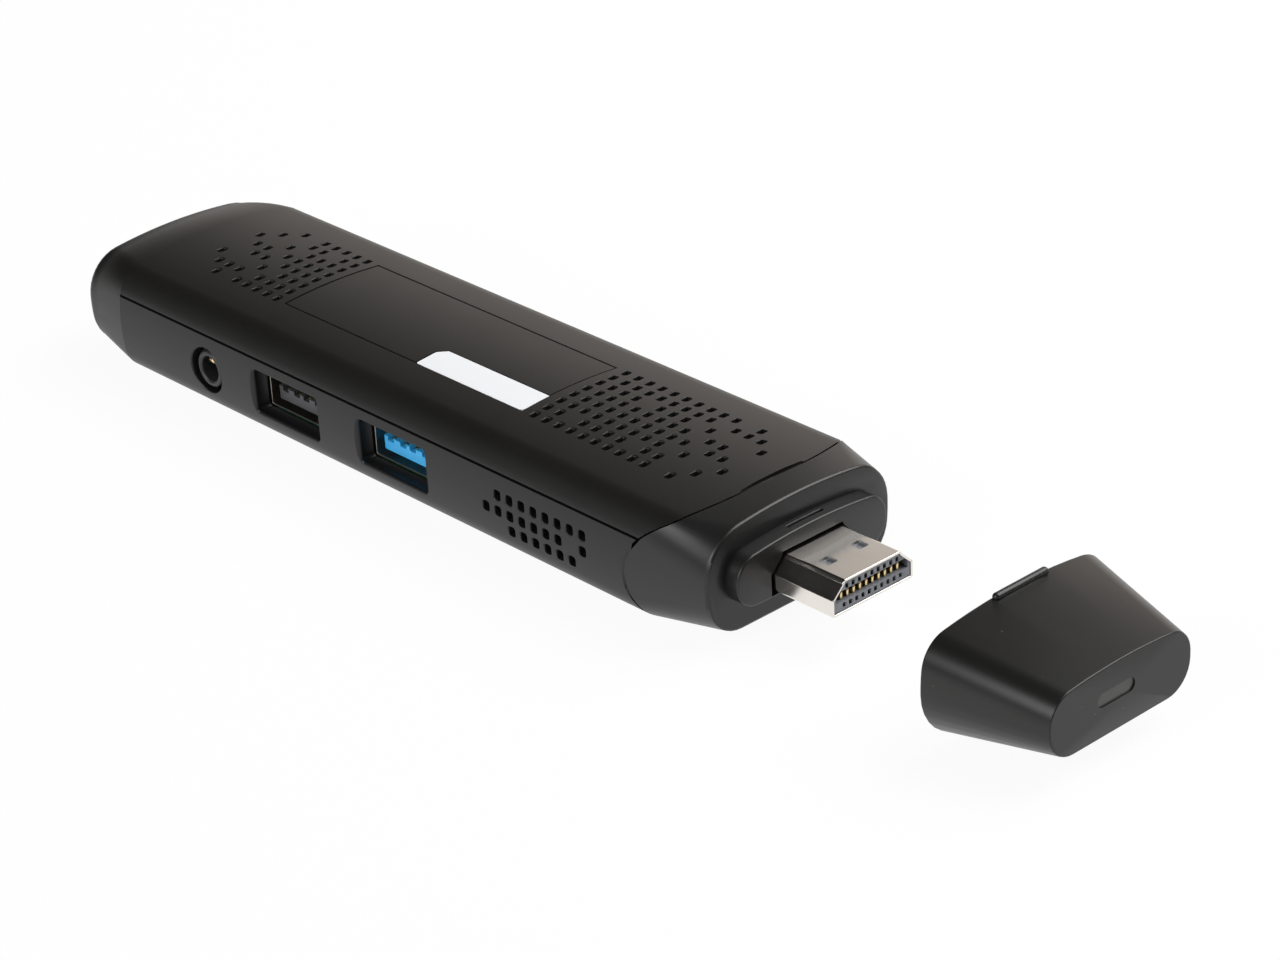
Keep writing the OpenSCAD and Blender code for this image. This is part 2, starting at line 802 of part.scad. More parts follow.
module heat_spreader() {
    x0 = soc_x - soc_side / 2 - 0.6;
    color([0.72, 0.45, 0.3])
        place()
            translate([0, 0, plate_z])
                linear_extrude(plate_t)
                    polygon([
                        [x0, usb_rear + 0.3],
                        [fin_x0 - 2, usb_rear + 0.3],
                        [fin_x0 - 2, fan_y0],
                        [fin_x0, fan_y0],
                        [fin_x0, fin_y0],
                        [fin_x1, fin_y0],
                        [fin_x1, fan_y0],
                        [fan_x1, fan_y0],
                        [fan_x1, fan_y1],
                        [x0, fan_y1]
                    ]);
}

module fin_stack() {
    n = 16;
    pitch = (fin_x1 - fin_x0 - 0.4) / n;
    color([0.7, 0.42, 0.28])
        place() {
            box(fin_x0, fin_x1, fin_y0, fan_y0, fan_z, fan_z + 0.3);
            for (i = [0 : n])
                box(fin_x0 + i * pitch, fin_x0 + i * pitch + 0.3, fin_y0, fan_y0, fan_z, fan_top - 0.6);
        }
}

module fan_outline() {
    translate([fan_x0, fan_y0])
        square(fan_w);
}

module blower_frame() {
    color([0.1, 0.1, 0.1])
        place() {
            difference() {
                translate([0, 0, fan_z])
                    linear_extrude(fan_h - 0.5)
                        fan_outline();
                rod_z(fan_x, fan_y, fan_z + 0.6, fan_top + 1, bay_r);
                box(fan_x - bay_r, fin_x1, fan_y0 - 1, fan_y, fan_z + 0.6, fan_top + 1);
            }
            difference() {
                rod_z(fan_x, fan_y, fan_z + 0.3, fan_top - 1.7, spindle_r + 0.85);
                rod_z(fan_x, fan_y, fan_z + 0.6, fan_top, spindle_r + 0.05);
            }
        }
}

module blower_lid() {
    color([0.5, 0.5, 0.52])
        place()
            difference() {
                translate([0, 0, fan_top - 0.5])
                    linear_extrude(0.5)
                        fan_outline();
                rod_z(fan_x, fan_y, fan_z, fan_top + 1, fan_r * 0.68);
            }
}

module blower_stator() {
    r = fan_r * 0.35;
    color([0.7, 0.4, 0.2])
        place()
            difference() {
                rod_z(fan_x, fan_y, fan_z + 0.6, fan_top - 2, r);
                rod_z(fan_x, fan_y, fan_z, fan_top, spindle_r + 0.9);
                for (a = [0 : 60 : 120])
                    translate([fan_x, fan_y, fan_z + 3])
                        rotate([0, 0, a])
                            cube([3 * r, 0.7, 3.2], center = true);
            }
}

module blade() {
    intersection() {
        difference() {
            circle(fan_r);
            circle(fan_r * 0.42);
        }
        translate([fan_r * 0.5, -fan_r * 0.62])
            difference() {
                circle(fan_r * 0.72);
                circle(fan_r * 0.72 - 0.45);
            }
        translate([0, -fan_r * 0.25])
            square([fan_r, fan_r]);
    }
}

module blower_impeller() {
    hub = fan_r * 0.44;
    color([0.14, 0.14, 0.15])
        place()
            translate([fan_x, fan_y, 0]) {
                difference() {
                    rod_z(0, 0, fan_z + 0.9, fan_top - 0.9, hub);
                    rod_z(0, 0, fan_z, fan_top - 1.4, hub - 0.5);
                }
                translate([0, 0, fan_z + 1])
                    linear_extrude(fan_h - 2)
                        for (i = [0 : fan_blades - 1])
                            rotate(i * 360 / fan_blades)
                                blade();
            }
}

module blower_shaft() {
    color([0.8, 0.8, 0.82])
        place()
            rod_z(fan_x, fan_y, fan_z + 0.7, fan_top - 1.4, spindle_r);
}

// Plug section, wide side down, pulled in by inset.
module plug_section(inset) {
    w = plug_w / 2 - inset;
    h = plug_h;
    polygon([
        [-w, plug_z + inset],
        [w, plug_z + inset],
        [w, plug_z + h * 0.53],
        [w - 0.5, plug_z + h * 0.62],
        [w * 0.74, plug_z + h * 0.9 - inset * 0.6],
        [w * 0.7, plug_z + h - inset],
        [-w * 0.7, plug_z + h - inset],
        [-w * 0.74, plug_z + h * 0.9 - inset * 0.6],
        [0.5 - w, plug_z + h * 0.62],
        [-w, plug_z + h * 0.53]
    ]);
}

module hdmi_shell() {
    color([0.8, 0.79, 0.76])
        place()
            difference() {
                union() {
                    along_x(-board_back - 3, 0)
                        plug_section(0);
                    for (s = [-1, 1])
                        box(-board_back - 3, -board_back - 0.6, s * (plug_w / 2 - 0.7) - 0.5,
                            s * (plug_w / 2 - 0.7) + 0.5, board_z, plug_z + 0.2);
                }
                along_x(-board_back - 4, 1)
                    plug_section(sheet);
                for (s = [-1, 1])
                    box(-5.6, -4, s * 2.68 - 0.78, s * 2.68 + 0.78, plug_z + plug_h * 0.7,
                        plug_z + plug_h + 1);
            }
}

slot_z = plug_z + plug_h * 0.52;
slot_h = 1.4;
slot_w = plug_w - 1.5;

module hdmi_insert() {
    color([0.2, 0.2, 0.21])
        place()
            difference() {
                along_x(-board_back - 2.6, -0.15)
                    plug_section(sheet + 0.04);
                box(-plug_contact_l - plug_set, 0, -slot_w / 2, slot_w / 2, slot_z - slot_h / 2,
                    slot_z + slot_h / 2);
                for (row = [0, 1])
                    for (i = [0 : 9 - row])
                        translate([-2, (i - (9 - row) / 2) * 1.08, slot_z + (row == 0 ? -1.25 : 1.15)])
                            cube([4, 0.42, 0.42], center = true);
            }
}

// Blade on the floor of the slot with a rounded nose at its front.
module plug_contact() {
    r = slot_h / 4;
    translate([0, 0, -slot_h / 2]) {
        box(-plug_contact_l, -r, -0.22, 0.22, 0, 0.3);
        rod_y(-r, r, -0.22, 0.22, r);
    }
}

module hdmi_contacts() {
    color([0.85, 0.66, 0.25])
        place()
            for (row = [0, 1])
                for (i = [0 : 9 - row])
                    translate([-plug_set, (i - (9 - row) / 2) * 1.08, slot_z])
                        mirror([0, 0, row])
                            plug_contact();
}

module usb_shell(back) {
    x = at(back);
    difference() {
        box(x - usb_w / 2, x + usb_w / 2, usb_front, usb_rear, board_z, board_z + usb_h);
        box(x - usb_w / 2 + sheet, x + usb_w / 2 - sheet, usb_front - 1, usb_rear - sheet, board_z + sheet,
            board_z + usb_h - sheet);
        for (s = [-1, 1])
            box(x + s * 2.6 - 0.7, x + s * 2.6 + 0.7, usb_front + 4, usb_front + 6.5, board_z + usb_h / 2,
                board_z + usb_h + 1);
    }
}

tongue_z = board_z + sheet + 1;
strip_x = [-3.5, -1, 1, 3.5];

// Rear block with a tongue whose upper front edge has a notch over each contact.
module usb_tongue(back) {
    x = at(back);
    w = usb_w / 2 - sheet - 0.05;
    box(x - w, x + w, usb_rear - 3.4, usb_rear - sheet, board_z + sheet, board_z + usb_h - sheet - 0.05);
    difference() {
        box(x - w + tongue_in, x + w - tongue_in, usb_front + 0.25, usb_rear - 3, tongue_z,
            tongue_z + tongue_t);
        for (d = strip_x)
            box(x + d - 0.6, x + d + 0.6, usb_front, usb_front + 9, tongue_z + tongue_t - 0.6,
                board_z + usb_h);
    }
}

module usb_strips(back) {
    z = tongue_z + tongue_t - 0.6;
    for (d = strip_x)
        box(at(back) + d - 0.45, at(back) + d + 0.45, usb_front + 1, usb_front + 8.8, z, z + 0.3);
}

module usb3_shell() {
    color([0.75, 0.75, 0.74])
        place()
            usb_shell(usb3_back);
}

module usb3_tongue() {
    color([0.2, 0.55, 0.82])
        place()
            usb_tongue(usb3_back);
}

module usb3_contacts() {
    color([0.85, 0.66, 0.25])
        place() {
            usb_strips(usb3_back);
            for (x = [-4, -2, 0, 2, 4])
                box(at(usb3_back) + x - 0.28, at(usb3_back) + x + 0.28, usb_front + 9.05, usb_rear - 3.45,
                    tongue_z + tongue_t, tongue_z + tongue_t + 0.4);
        }
}

module usb2_shell() {
    color([0.75, 0.75, 0.74])
        place()
            usb_shell(usb2_back);
}

module usb2_tongue() {
    color([0.2, 0.2, 0.22])
        place()
            usb_tongue(usb2_back);
}

module usb2_contacts() {
    color([0.85, 0.66, 0.25])
        place()
            usb_strips(usb2_back);
}

jack_l = 12;
leaf_w = 1;

module jack_body() {
    x = at(jack_back);
    color([0.2, 0.2, 0.2])
        place()
            difference() {
                union() {
                    rod_y(x, jack_z, jack_front, -half_w + 4, jack_barrel_r);
                    rod_y(x, jack_z, -half_w + 1.7, -half_w + 4, jack_hole_r - 0.1);
                    box(x - 3.1, x + 3.1, -half_w + 3.4, jack_front + jack_l + 1, board_z, jack_z + 2.9);
                }
                rod_y(x, jack_z, -body_w, jack_front + jack_l, jack_r);
                box(x - leaf_w / 2 - 0.05, x + leaf_w / 2 + 0.05, jack_front + 0.5, jack_front + jack_l - 2,
                    jack_z, jack_z + jack_r + 0.65);
                box(-stick_l, 0, -half_w, half_w, 0, board_z);
            }
}

module jack_springs() {
    x = at(jack_back);
    color([0.85, 0.66, 0.25])
        place()
            box(x - leaf_w / 2, x + leaf_w / 2, jack_front + 0.6, jack_front + jack_l - 2.1,
                jack_z + jack_r + 0.1, jack_z + jack_r + 0.6);
}

module inlet_section(inset) {
    w = inlet_w / 2 - inset;
    polygon([
        [-w + 0.9, board_z + inset],
        [w - 0.9, board_z + inset],
        [w, board_z + 1.1],
        [w, board_z + inlet_h - inset],
        [-w, board_z + inlet_h - inset],
        [-w, board_z + 1.1]
    ]);
}

module inlet_shell() {
    color([0.75, 0.75, 0.74])
        place()
            translate([at(inlet_back), 0, 0])
                difference() {
                    along_y(inlet_front - inlet_l, inlet_front)
                        inlet_section(0);
                    along_y(inlet_front - inlet_l + sheet, inlet_front + 1)
                        inlet_section(sheet);
                }
}

module inlet_tongue() {
    color([0.15, 0.15, 0.15])
        place()
            translate([at(inlet_back), inlet_front - inlet_l + sheet, 0]) {
                along_y(0, 1)
                    inlet_section(sheet + 0.04);
                box(-2, 2, 0.5, inlet_l - 1.2, board_z + inlet_h / 2 + 0.1, board_z + inlet_h / 2 + 0.7);
            }
}

button_face = half_w - 0.1;
switch_y = far_wall - 6.5;

module power_button() {
    color([0.2, 0.2, 0.2])
        place()
            translate([at(button_back), 0, 0]) {
                along_y(far_wall - 1.3, button_face)
                    translate([0, button_z])
                        oblong(button_w, button_h);
                along_y(far_wall - 1.3, far_wall - 0.55)
                    translate([0, button_z])
                        oblong(button_w + 1.6, button_h + 1.6);
                rod_y(0, button_z, switch_y + 3, far_wall - 1, 1.2);
            }
}

module tact_switch() {
    x = at(button_back);
    color([0.1, 0.1, 0.1])
        place()
            difference() {
                box(x - 2.2, x + 2.2, switch_y - 2, switch_y + 2, board_z, button_z + 1.8);
                rod_y(x, button_z, switch_y - 0.6, switch_y + 3, 1);
            }
}

module switch_plunger() {
    color([0.75, 0.72, 0.66])
        place()
            rod_y(at(button_back), button_z, switch_y - 0.6 + button_travel + 0.1, switch_y + 3, 0.9);
}

led_y = half_w - 5;

module status_led() {
    color([0.9, 0.9, 0.85])
        place()
            chip(at(light_back), led_y, 1.6, 1, 0.7);
}

module light_pipe() {
    z = board_z + 2.2;
    color([0.85, 0.88, 0.9])
        place() {
            rod_y(at(light_back), z, led_y - 0.6, half_w - 0.1, 0.75);
            rod_z(at(light_back), led_y, board_z + 0.75, z, 0.6);
        }
}

main_housing();
vent_cover();
nose_collar();
end_cap();
rating_label();
serial_sticker();
main_board();
soc_chip();
memory_chips();
storage_chip();
wifi_module();
wifi_antenna();
voltage_chokes();
thermal_pad();
heat_spreader();
fin_stack();
blower_frame();
blower_lid();
blower_stator();
blower_impeller();
blower_shaft();
hdmi_shell();
hdmi_insert();
hdmi_contacts();
usb3_shell();
usb3_tongue();
usb3_contacts();
usb2_shell();
usb2_tongue();
usb2_contacts();
jack_body();
jack_springs();
inlet_shell();
inlet_tongue();
power_button();
tact_switch();
switch_plunger();
status_led();
light_pipe();
board_screws();
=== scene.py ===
# %% [markdown]
# # A plug-in stick computer and its cap
# The real thing is a slim stick of satin black plastic with a nickel plug on its nose and a loose cap.
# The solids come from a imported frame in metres, so every piece made here already has its place.
# This lesson dresses those solids: smooth shells, softened openings, sheet-metal sockets and real finishes.

import json
import math

import bmesh
import bpy
import numpy as np
from mathutils import Euler, Matrix, Vector
from mathutils.bvhtree import BVHTree
from mathutils.interpolate import poly_3d_calc


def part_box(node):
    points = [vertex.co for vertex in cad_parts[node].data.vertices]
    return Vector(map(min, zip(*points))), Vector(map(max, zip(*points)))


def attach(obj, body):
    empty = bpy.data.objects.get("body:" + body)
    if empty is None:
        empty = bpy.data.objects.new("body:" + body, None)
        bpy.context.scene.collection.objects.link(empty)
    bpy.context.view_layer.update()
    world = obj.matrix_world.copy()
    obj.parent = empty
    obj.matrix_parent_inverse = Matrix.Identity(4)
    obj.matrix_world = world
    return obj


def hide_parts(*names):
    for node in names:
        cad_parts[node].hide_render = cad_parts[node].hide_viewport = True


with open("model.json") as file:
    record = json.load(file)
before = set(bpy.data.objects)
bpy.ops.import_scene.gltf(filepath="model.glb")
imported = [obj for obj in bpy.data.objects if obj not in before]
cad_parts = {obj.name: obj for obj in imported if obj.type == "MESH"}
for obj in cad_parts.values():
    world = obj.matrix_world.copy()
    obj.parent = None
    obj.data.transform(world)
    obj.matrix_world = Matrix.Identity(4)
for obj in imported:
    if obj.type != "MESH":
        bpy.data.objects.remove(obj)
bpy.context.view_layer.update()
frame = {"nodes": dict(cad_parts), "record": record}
MM = 0.001
NODES = frame["nodes"]
BODY_OF = {node: body for body, nodes in frame["record"]["behaviour"]["bodies"].items() for node in nodes}
SLOT_OF = {row["node"]: row["material_slot"] for row in frame["record"]["subparts"]}
PLUG_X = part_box("hdmi_shell")[1][0] / MM
print("nodes:", len(NODES), "plug front at mm:", round(PLUG_X, 3))

# %% [markdown]
# ## Camera
# The photograph was taken with a long lens from the plug end, a little above the stick.
# The lens and place were found from the square lattice of the vent holes, so the camera is set as numbers.
# Its three axes are written out because the picture has a slight roll that a track-to aim would lose.

# %% Camera
scene = bpy.context.scene
scene.view_settings.view_transform = "Standard"
SENSOR, FOCAL_PX, PHOTO_W = 36.0, 3811.7, 1280
EYE = Vector((281.03 + PLUG_X, -285.32, 232.72))
LOOK = Vector((-0.66318182, 0.58724476, -0.46404037))
RIGHT = Vector((0.68098027, 0.73069213, -0.04852725))
DOWN = Vector((0.31057327, -0.34818473, -0.88448383))


def linked(name, data):
    """A new object in the scene."""
    thing = bpy.data.objects.new(name, data)
    scene.collection.objects.link(thing)
    return thing


camera_data = bpy.data.cameras.new("photo_camera")
camera_data.sensor_width = SENSOR
camera_data.lens = SENSOR * FOCAL_PX / PHOTO_W
camera_data.clip_start = 0.01
camera_data.clip_end = 50.0
camera = linked("photo_camera", camera_data)
turn = Matrix((RIGHT, -DOWN, -LOOK)).transposed().to_4x4()
camera.matrix_world = Matrix.Translation(EYE * MM) @ turn
scene.camera = camera
print("lens mm:", round(camera_data.lens, 2))

# %% [markdown]
# ## Writing node trees as expressions
# Node links are easier to read as sums. A wire holds one output socket, and + - * / on wires add Math nodes.
# The sheet keeps the tree. Its method called node makes any other node: settings first, then socket values or links.

# %% Wires and sheets
class Wire:
    """One output socket of a node tree, with arithmetic."""

    def __init__(self, sheet, socket):
        self.sheet, self.socket = sheet, socket

    def math(self, operation, a, b=0.0):
        return self.sheet.node("ShaderNodeMath", {"operation": operation}, {0: a, 1: b})

    def __add__(self, other):
        return self.math("ADD", self, other)

    def __radd__(self, other):
        return self.math("ADD", other, self)

    def __sub__(self, other):
        return self.math("SUBTRACT", self, other)

    def __rsub__(self, other):
        return self.math("SUBTRACT", other, self)

    def __mul__(self, other):
        return self.math("MULTIPLY", self, other)

    def __rmul__(self, other):
        return self.math("MULTIPLY", other, self)

    def __truediv__(self, other):
        return self.math("DIVIDE", self, other)

    def __rtruediv__(self, other):
        return self.math("DIVIDE", other, self)

    def __neg__(self):
        return self.math("MULTIPLY", self, -1.0)


class Sheet:
    """A node tree that is written from expressions."""

    def __init__(self, tree):
        self.tree = tree
        tree.nodes.clear()

    def node(self, kind, settings=None, sockets=None, out=0):
        made = self.tree.nodes.new(kind)
        for name, value in (settings or {}).items():
            setattr(made, name, value)
        for key, value in (sockets or {}).items():
            if isinstance(value, Wire):
                self.tree.links.new(value.socket, made.inputs[key])
            else:
                made.inputs[key].default_value = value
        return Wire(self, made.outputs[out]) if made.outputs else None

    def place(self, stretch=(1, 1, 1)):
        spot = self.node("ShaderNodeTexCoord", out="Object")
        if tuple(stretch) == (1, 1, 1):
            return spot
        return self.node("ShaderNodeMapping", {}, {"Vector": spot, "Scale": stretch})

    def noise(self, place, scale, detail=2.0, roughness=0.5):
        sockets = {"Vector": place, "Scale": scale, "Detail": detail, "Roughness": roughness}
        return self.node("ShaderNodeTexNoise", {}, sockets, out="Fac")

    def ramp(self, value, low, high):
        sockets = {"Value": value, "From Min": low, "From Max": high}
        return self.node("ShaderNodeMapRange", {}, sockets)

    def blend(self, factor, a, b):
        return self.node("ShaderNodeMix", {"data_type": "RGBA"}, {0: factor, 6: a, 7: b}, out=2)

    def bump(self, height, strength, distance):
        return self.node("ShaderNodeBump", {}, {"Height": height, "Strength": strength, "Distance": distance})

    def finish(self, **sockets):
        named = {key.replace("_", " "): value for key, value in sockets.items()}
        shader = self.node("ShaderNodeBsdfPrincipled", {}, named)
        self.node("ShaderNodeOutputMaterial", {}, {"Surface": shader})


def new_finish(name):
    material = bpy.data.materials.new(name)
    material.use_nodes = True
    return material, Sheet(material.node_tree)


def tint(r, g, b):
    return (r, g, b, 1.0)


def shade(tone, share):
    return tint(*[channel * share for channel in tone])


print("wires ready")

# %% [markdown]
# ## Moulded plastic
# The shells are spark-textured ABS: nearly black, with a satin gloss from pits about a fifth of a millimetre wide.
# The tone is mostly reflection, so the colour stays very dark and the roughness carries the look.
# Slow noise moves the roughness a little, as handling does. The cap is smoother, and a few grains of lint lie on it.

# %% Moulded plastic
def moulded_plastic(name, tone, gloss, shine=0.36, pits=0.1, lint=0.0):
    material, sheet = new_finish(name)
    place = sheet.place()
    cloud = sheet.noise(place, 70.0, 3.0)
    grain = sheet.noise(place, 5200.0, 2.0, 0.6)
    fleck = sheet.noise(place, 2300.0, 0.0)
    specks = sheet.ramp(fleck, 0.87, 0.89) * lint
    body = sheet.blend(cloud, shade(tone, 0.86), shade(tone, 1.14))
    base = sheet.blend(specks, body, tint(0.16, 0.155, 0.15))
    rough = gloss - 0.03 + 0.05 * cloud + 0.03 * grain + 0.2 * specks
    normal = sheet.bump(grain, pits, 0.02 * MM)
    sheet.finish(Base_Color=base, Roughness=rough, Normal=normal, IOR=1.5, Specular_IOR_Level=shine)
    return material


FINISH = {
    "housing_plastic": moulded_plastic("housing_plastic", (0.0090, 0.0086, 0.0088), 0.42, 0.44),
    "cover_plastic": moulded_plastic("cover_plastic", (0.0086, 0.0080, 0.0074), 0.42, 0.44),
}
COLLAR_PLASTIC = moulded_plastic("collar_plastic", (0.0098, 0.0093, 0.0090), 0.36, 0.5)
CAP_PLASTIC = moulded_plastic("cap_plastic", (0.0096, 0.0091, 0.0085), 0.34, 0.46, lint=0.4)
# Smoother plastic for the floor of the cap's slot; its much paler tone is a painted sheen.
SLOT_PAINTED_SHEEN = moulded_plastic("slot_painted_sheen", (0.046, 0.046, 0.043), 0.30, 0.5)
print("plastics:", list(FINISH))

# %% [markdown]
# ## Film, paper and insulators
# The label is a dark polyester film, nearly as satin as the cover it lies in.
# The sticker is coated paper with faint fibres. The insulators inside the sockets are glass-filled resin,
# whose flow lines run along the part, so their noise is stretched along X.

# %% Film, paper and insulators
def thin_film(name, tone, gloss):
    material, sheet = new_finish(name)
    place = sheet.place()
    ripple = sheet.noise(place, 160.0, 2.0)
    fine = sheet.noise(place, 7000.0, 1.0)
    base = sheet.blend(ripple, shade(tone, 0.92), shade(tone, 1.08))
    rough = gloss - 0.03 + 0.06 * ripple
    normal = sheet.bump(fine + ripple, 0.06, 0.02 * MM)
    sheet.finish(Base_Color=base, Roughness=rough, Normal=normal, Specular_IOR_Level=0.42)
    return material


def coated_paper(name):
    material, sheet = new_finish(name)
    fibres = sheet.noise(sheet.place((1.0, 3.0, 1.0)), 900.0, 3.0)
    base = sheet.blend(fibres, tint(0.84, 0.855, 0.875), tint(0.89, 0.90, 0.92))
    sheet.finish(Base_Color=base, Roughness=0.52 + 0.1 * fibres, Normal=sheet.bump(fibres, 0.05, 0.02 * MM))
    return material


def filled_resin(name, tone, gloss, flow=(0.35, 1.0, 1.0)):
    material, sheet = new_finish(name)
    streaks = sheet.noise(sheet.place(flow), 1400.0, 3.0, 0.6)
    base = sheet.blend(streaks, shade(tone, 0.8), shade(tone, 1.2))
    rough = gloss - 0.05 + 0.12 * streaks
    sheet.finish(Base_Color=base, Roughness=rough, Normal=sheet.bump(streaks, 0.08, 0.02 * MM))
    return material


FINISH["label_film"] = thin_film("label_film", (0.0092, 0.0088, 0.0084), 0.44)
FINISH["white_paper"] = coated_paper("white_paper")
FINISH["dark_insulator"] = filled_resin("dark_insulator", (0.026, 0.026, 0.029), 0.42)
FINISH["blue_insulator"] = filled_resin("blue_insulator", (0.05, 0.47, 0.92), 0.34)
PLUG_RESIN = filled_resin("plug_resin", (0.21, 0.22, 0.245), 0.4)
# Lighter than the black resin it stands for: painted light, so that the second socket's tongue shows the reflection it
# has in its dark socket.
SOCKET_RESIN_PAINTED_LIGHT = filled_resin("socket_resin_painted_light", (0.06, 0.06, 0.066), 0.38)
FINISH["soft_pad"] = filled_resin("soft_pad", (0.22, 0.27, 0.34), 0.7, (1.0, 1.0, 1.0))
print("finishes so far:", len(FINISH))

# %% [markdown]
# ## Metals, board and clear resin
# The sockets are nickel-plated steel that was rolled before it was bent, so fine lines follow the rolling direction.
# The contacts are hard gold over nickel. The board has a green mask over copper tracks, made from a rounded grid.

# %% Metals, board and clear resin
def rolled_metal(name, tone, gloss, along=(0.04, 1.0, 1.0), depth=0.12):
    material, sheet = new_finish(name)
    lines = sheet.noise(sheet.place(along), 5200.0, 2.0, 0.65)
    stains = sheet.noise(sheet.place(), 240.0, 3.0)
    base = sheet.blend(stains, shade(tone, 0.93), shade(tone, 1.05))
    rough = gloss - 0.05 + 0.08 * lines + 0.05 * stains
    normal = sheet.bump(lines, depth, 0.01 * MM)
    sheet.finish(Base_Color=base, Roughness=rough, Metallic=1.0, Normal=normal)
    return material


def solder_mask(name):
    material, sheet = new_finish(name)
    place = sheet.place()
    tracks = sheet.node("ShaderNodeTexBrick", {"offset": 0.35}, {
        "Vector": place, "Scale": 260.0, "Mortar Size": 0.03, "Color1": tint(0, 0, 0),
        "Color2": tint(0, 0, 0), "Mortar": tint(1, 1, 1)}, out="Fac")
    mottle = sheet.noise(place, 420.0, 2.0)
    base = sheet.blend(tracks, tint(0.008, 0.075, 0.034), tint(0.014, 0.125, 0.055))
    normal = sheet.bump(tracks + 0.2 * mottle, 0.25, 0.03 * MM)
    sheet.finish(Base_Color=base, Roughness=0.28 + 0.12 * mottle, Normal=normal)
    return material


def clear_resin(name):
    material, sheet = new_finish(name)
    haze = sheet.noise(sheet.place(), 900.0, 2.0)
    base = sheet.blend(haze, tint(0.80, 0.84, 0.87), tint(0.88, 0.91, 0.93))
    sheet.finish(Base_Color=base, Roughness=0.12 + 0.1 * haze, Transmission_Weight=0.6, IOR=1.49)
    return material


FINISH["board_green"] = solder_mask("board_green")
FINISH["tinned_sheet"] = rolled_metal("tinned_sheet", (0.55, 0.55, 0.56), 0.36)
FINISH["nickel_shell"] = rolled_metal("nickel_shell", (0.84, 0.80, 0.745), 0.15)
FINISH["gold_contact"] = rolled_metal("gold_contact", (0.92, 0.71, 0.36), 0.28)
FINISH["copper_sheet"] = rolled_metal("copper_sheet", (0.62, 0.30, 0.16), 0.38)
FINISH["clear_resin"] = clear_resin("clear_resin")
SOCKET_METAL = rolled_metal("socket_metal", (0.46, 0.43, 0.38), 0.28)
for node, thing in NODES.items():
    thing.data.materials.clear()
    thing.data.materials.append(FINISH[SLOT_OF[node]])
print("finishes:", sorted(FINISH))

# %% [markdown]
# ## The sections of the shell
# The body is drawn by one section: a flat underside, a lower round, a bowed side, a shoulder and a crowned top.
# Each arc touches the next, so a section is six numbers: half width, underside, top, the radii of the shoulder and
# of the lower round, and the height of the widest line. Tail, nose and cap are lofts between two sections.
# The same sections give exact smooth normals later, which a triangle mesh cut by hundreds of holes can't give itself.

# %% The sections of the shell
CROWN_R, SIDE_R, WALL_POINTS = 81.0, 24.0, 40
BODY = (17.0, 0.0, 16.5, 4.6, 3.9, 7.4)
RIM = (15.7, 0.9, 15.9, 6.4, 5.4, 8.4)
TAIL = (15.6, 0.5, 15.15, 6.3, 5.1, 7.7)
MOUTH = (15.8, 0.9, 15.95, 4.4, 7.2, 8.15)
CAP_END = (12.2, 3.66, 12.76, 3.8, 4.0, 8.21)
BEZEL = (12.9, 4.87, 12.57, 3.4, 3.4, 8.72)


def half_section(section, inset=0.0, counts=(18, 12, 22, 16)):
    half, under, top, shoulder, lower, widest = section
    crown, side = Vector((0, top - CROWN_R)), Vector((half - SIDE_R, widest))
    reach = math.sqrt((SIDE_R - lower) ** 2 - (under + lower - widest) ** 2)
    low = Vector((side.x + reach, under + lower))
    span = side - crown
    far, near = CROWN_R - shoulder, SIDE_R - shoulder
    along = (far * far - near * near + span.length_squared) / (2 * span.length)
    unit = span.normalized()
    high = crown + along * unit + math.sqrt(far * far - along * along) * Vector((unit.y, -unit.x))
    a = math.atan2(low.y - side.y, low.x - side.x)
    b = math.atan2(high.y - side.y, high.x - side.x)
    c = math.atan2(high.y - crown.y, high.x - crown.x)
    arcs = ((low, lower, -math.pi / 2, a), (side, SIDE_R, a, b), (high, shoulder, b, c),
            (crown, CROWN_R, c, math.pi / 2))
    points = []
    for (centre, radius, start, end), count in zip(arcs, counts):
        size = radius - inset
        for i in range(count):
            turn = start + (end - start) * i / count
            points.append((centre.x + size * math.cos(turn), centre.y + size * math.sin(turn)))
    return points + [(0.0, top - inset)]


def ring(x, section, inset=0.0):
    half = half_section(section, inset)
    outline = half + [(-y, z) for y, z in reversed(half[:-1])]
    return [(x, y, z) for y, z in outline]


def between(a, b, share):
    return tuple(p + (q - p) * share for p, q in zip(a, b))


side_y, side_z = zip(*half_section(BODY)[:WALL_POINTS])
print("section points:", len(ring(0, BODY)))

# %% [markdown]
# ## Reference skins
# A reference skin is the shell before anything was cut from it, as a fine grid with its true normals.
# It is never shown. Each face of a finished shell that lies on a skin borrows the skin's normals,
# so the satin highlights run straight past the holes instead of bending round every triangle.

# %% Reference skins
def unit(rows):
    return rows / (np.linalg.norm(rows, axis=2, keepdims=True) + 1e-12)


def skin(rings):
    grid = np.array(rings, float)
    step = unit(np.diff(grid, axis=0))
    along = np.concatenate([step[:1], step[:-1] + step[1:], step[-1:]])
    around = unit(np.roll(grid, -1, 1) - grid) + unit(grid - np.roll(grid, 1, 1))
    normals = unit(np.cross(around, along))
    outward = grid - grid.mean(axis=1, keepdims=True)
    if np.sum(normals * outward) < 0:
        normals = -normals
    count, points = grid.shape[:2]
    quads = [(i * points + j, i * points + (j + 1) % points,
              (i + 1) * points + (j + 1) % points, (i + 1) * points + j)
             for i in range(count - 1) for j in range(points)]
    flat = [Vector(p) for p in grid.reshape(-1, 3)]
    return BVHTree.FromPolygons(flat, quads), quads, flat, [Vector(n) for n in normals.reshape(-1, 3)]


def skin_normal(patch, spot):
    tree, quads, points, normals = patch
    hit, _, index, distance = tree.find_nearest(spot)
    corners = quads[index]
    weights = poly_3d_calc([points[k] for k in corners], hit)
    total = Vector((0, 0, 0))
    for k, weight in zip(corners, weights):
        total += normals[k] * weight
    return total.normalized(), distance


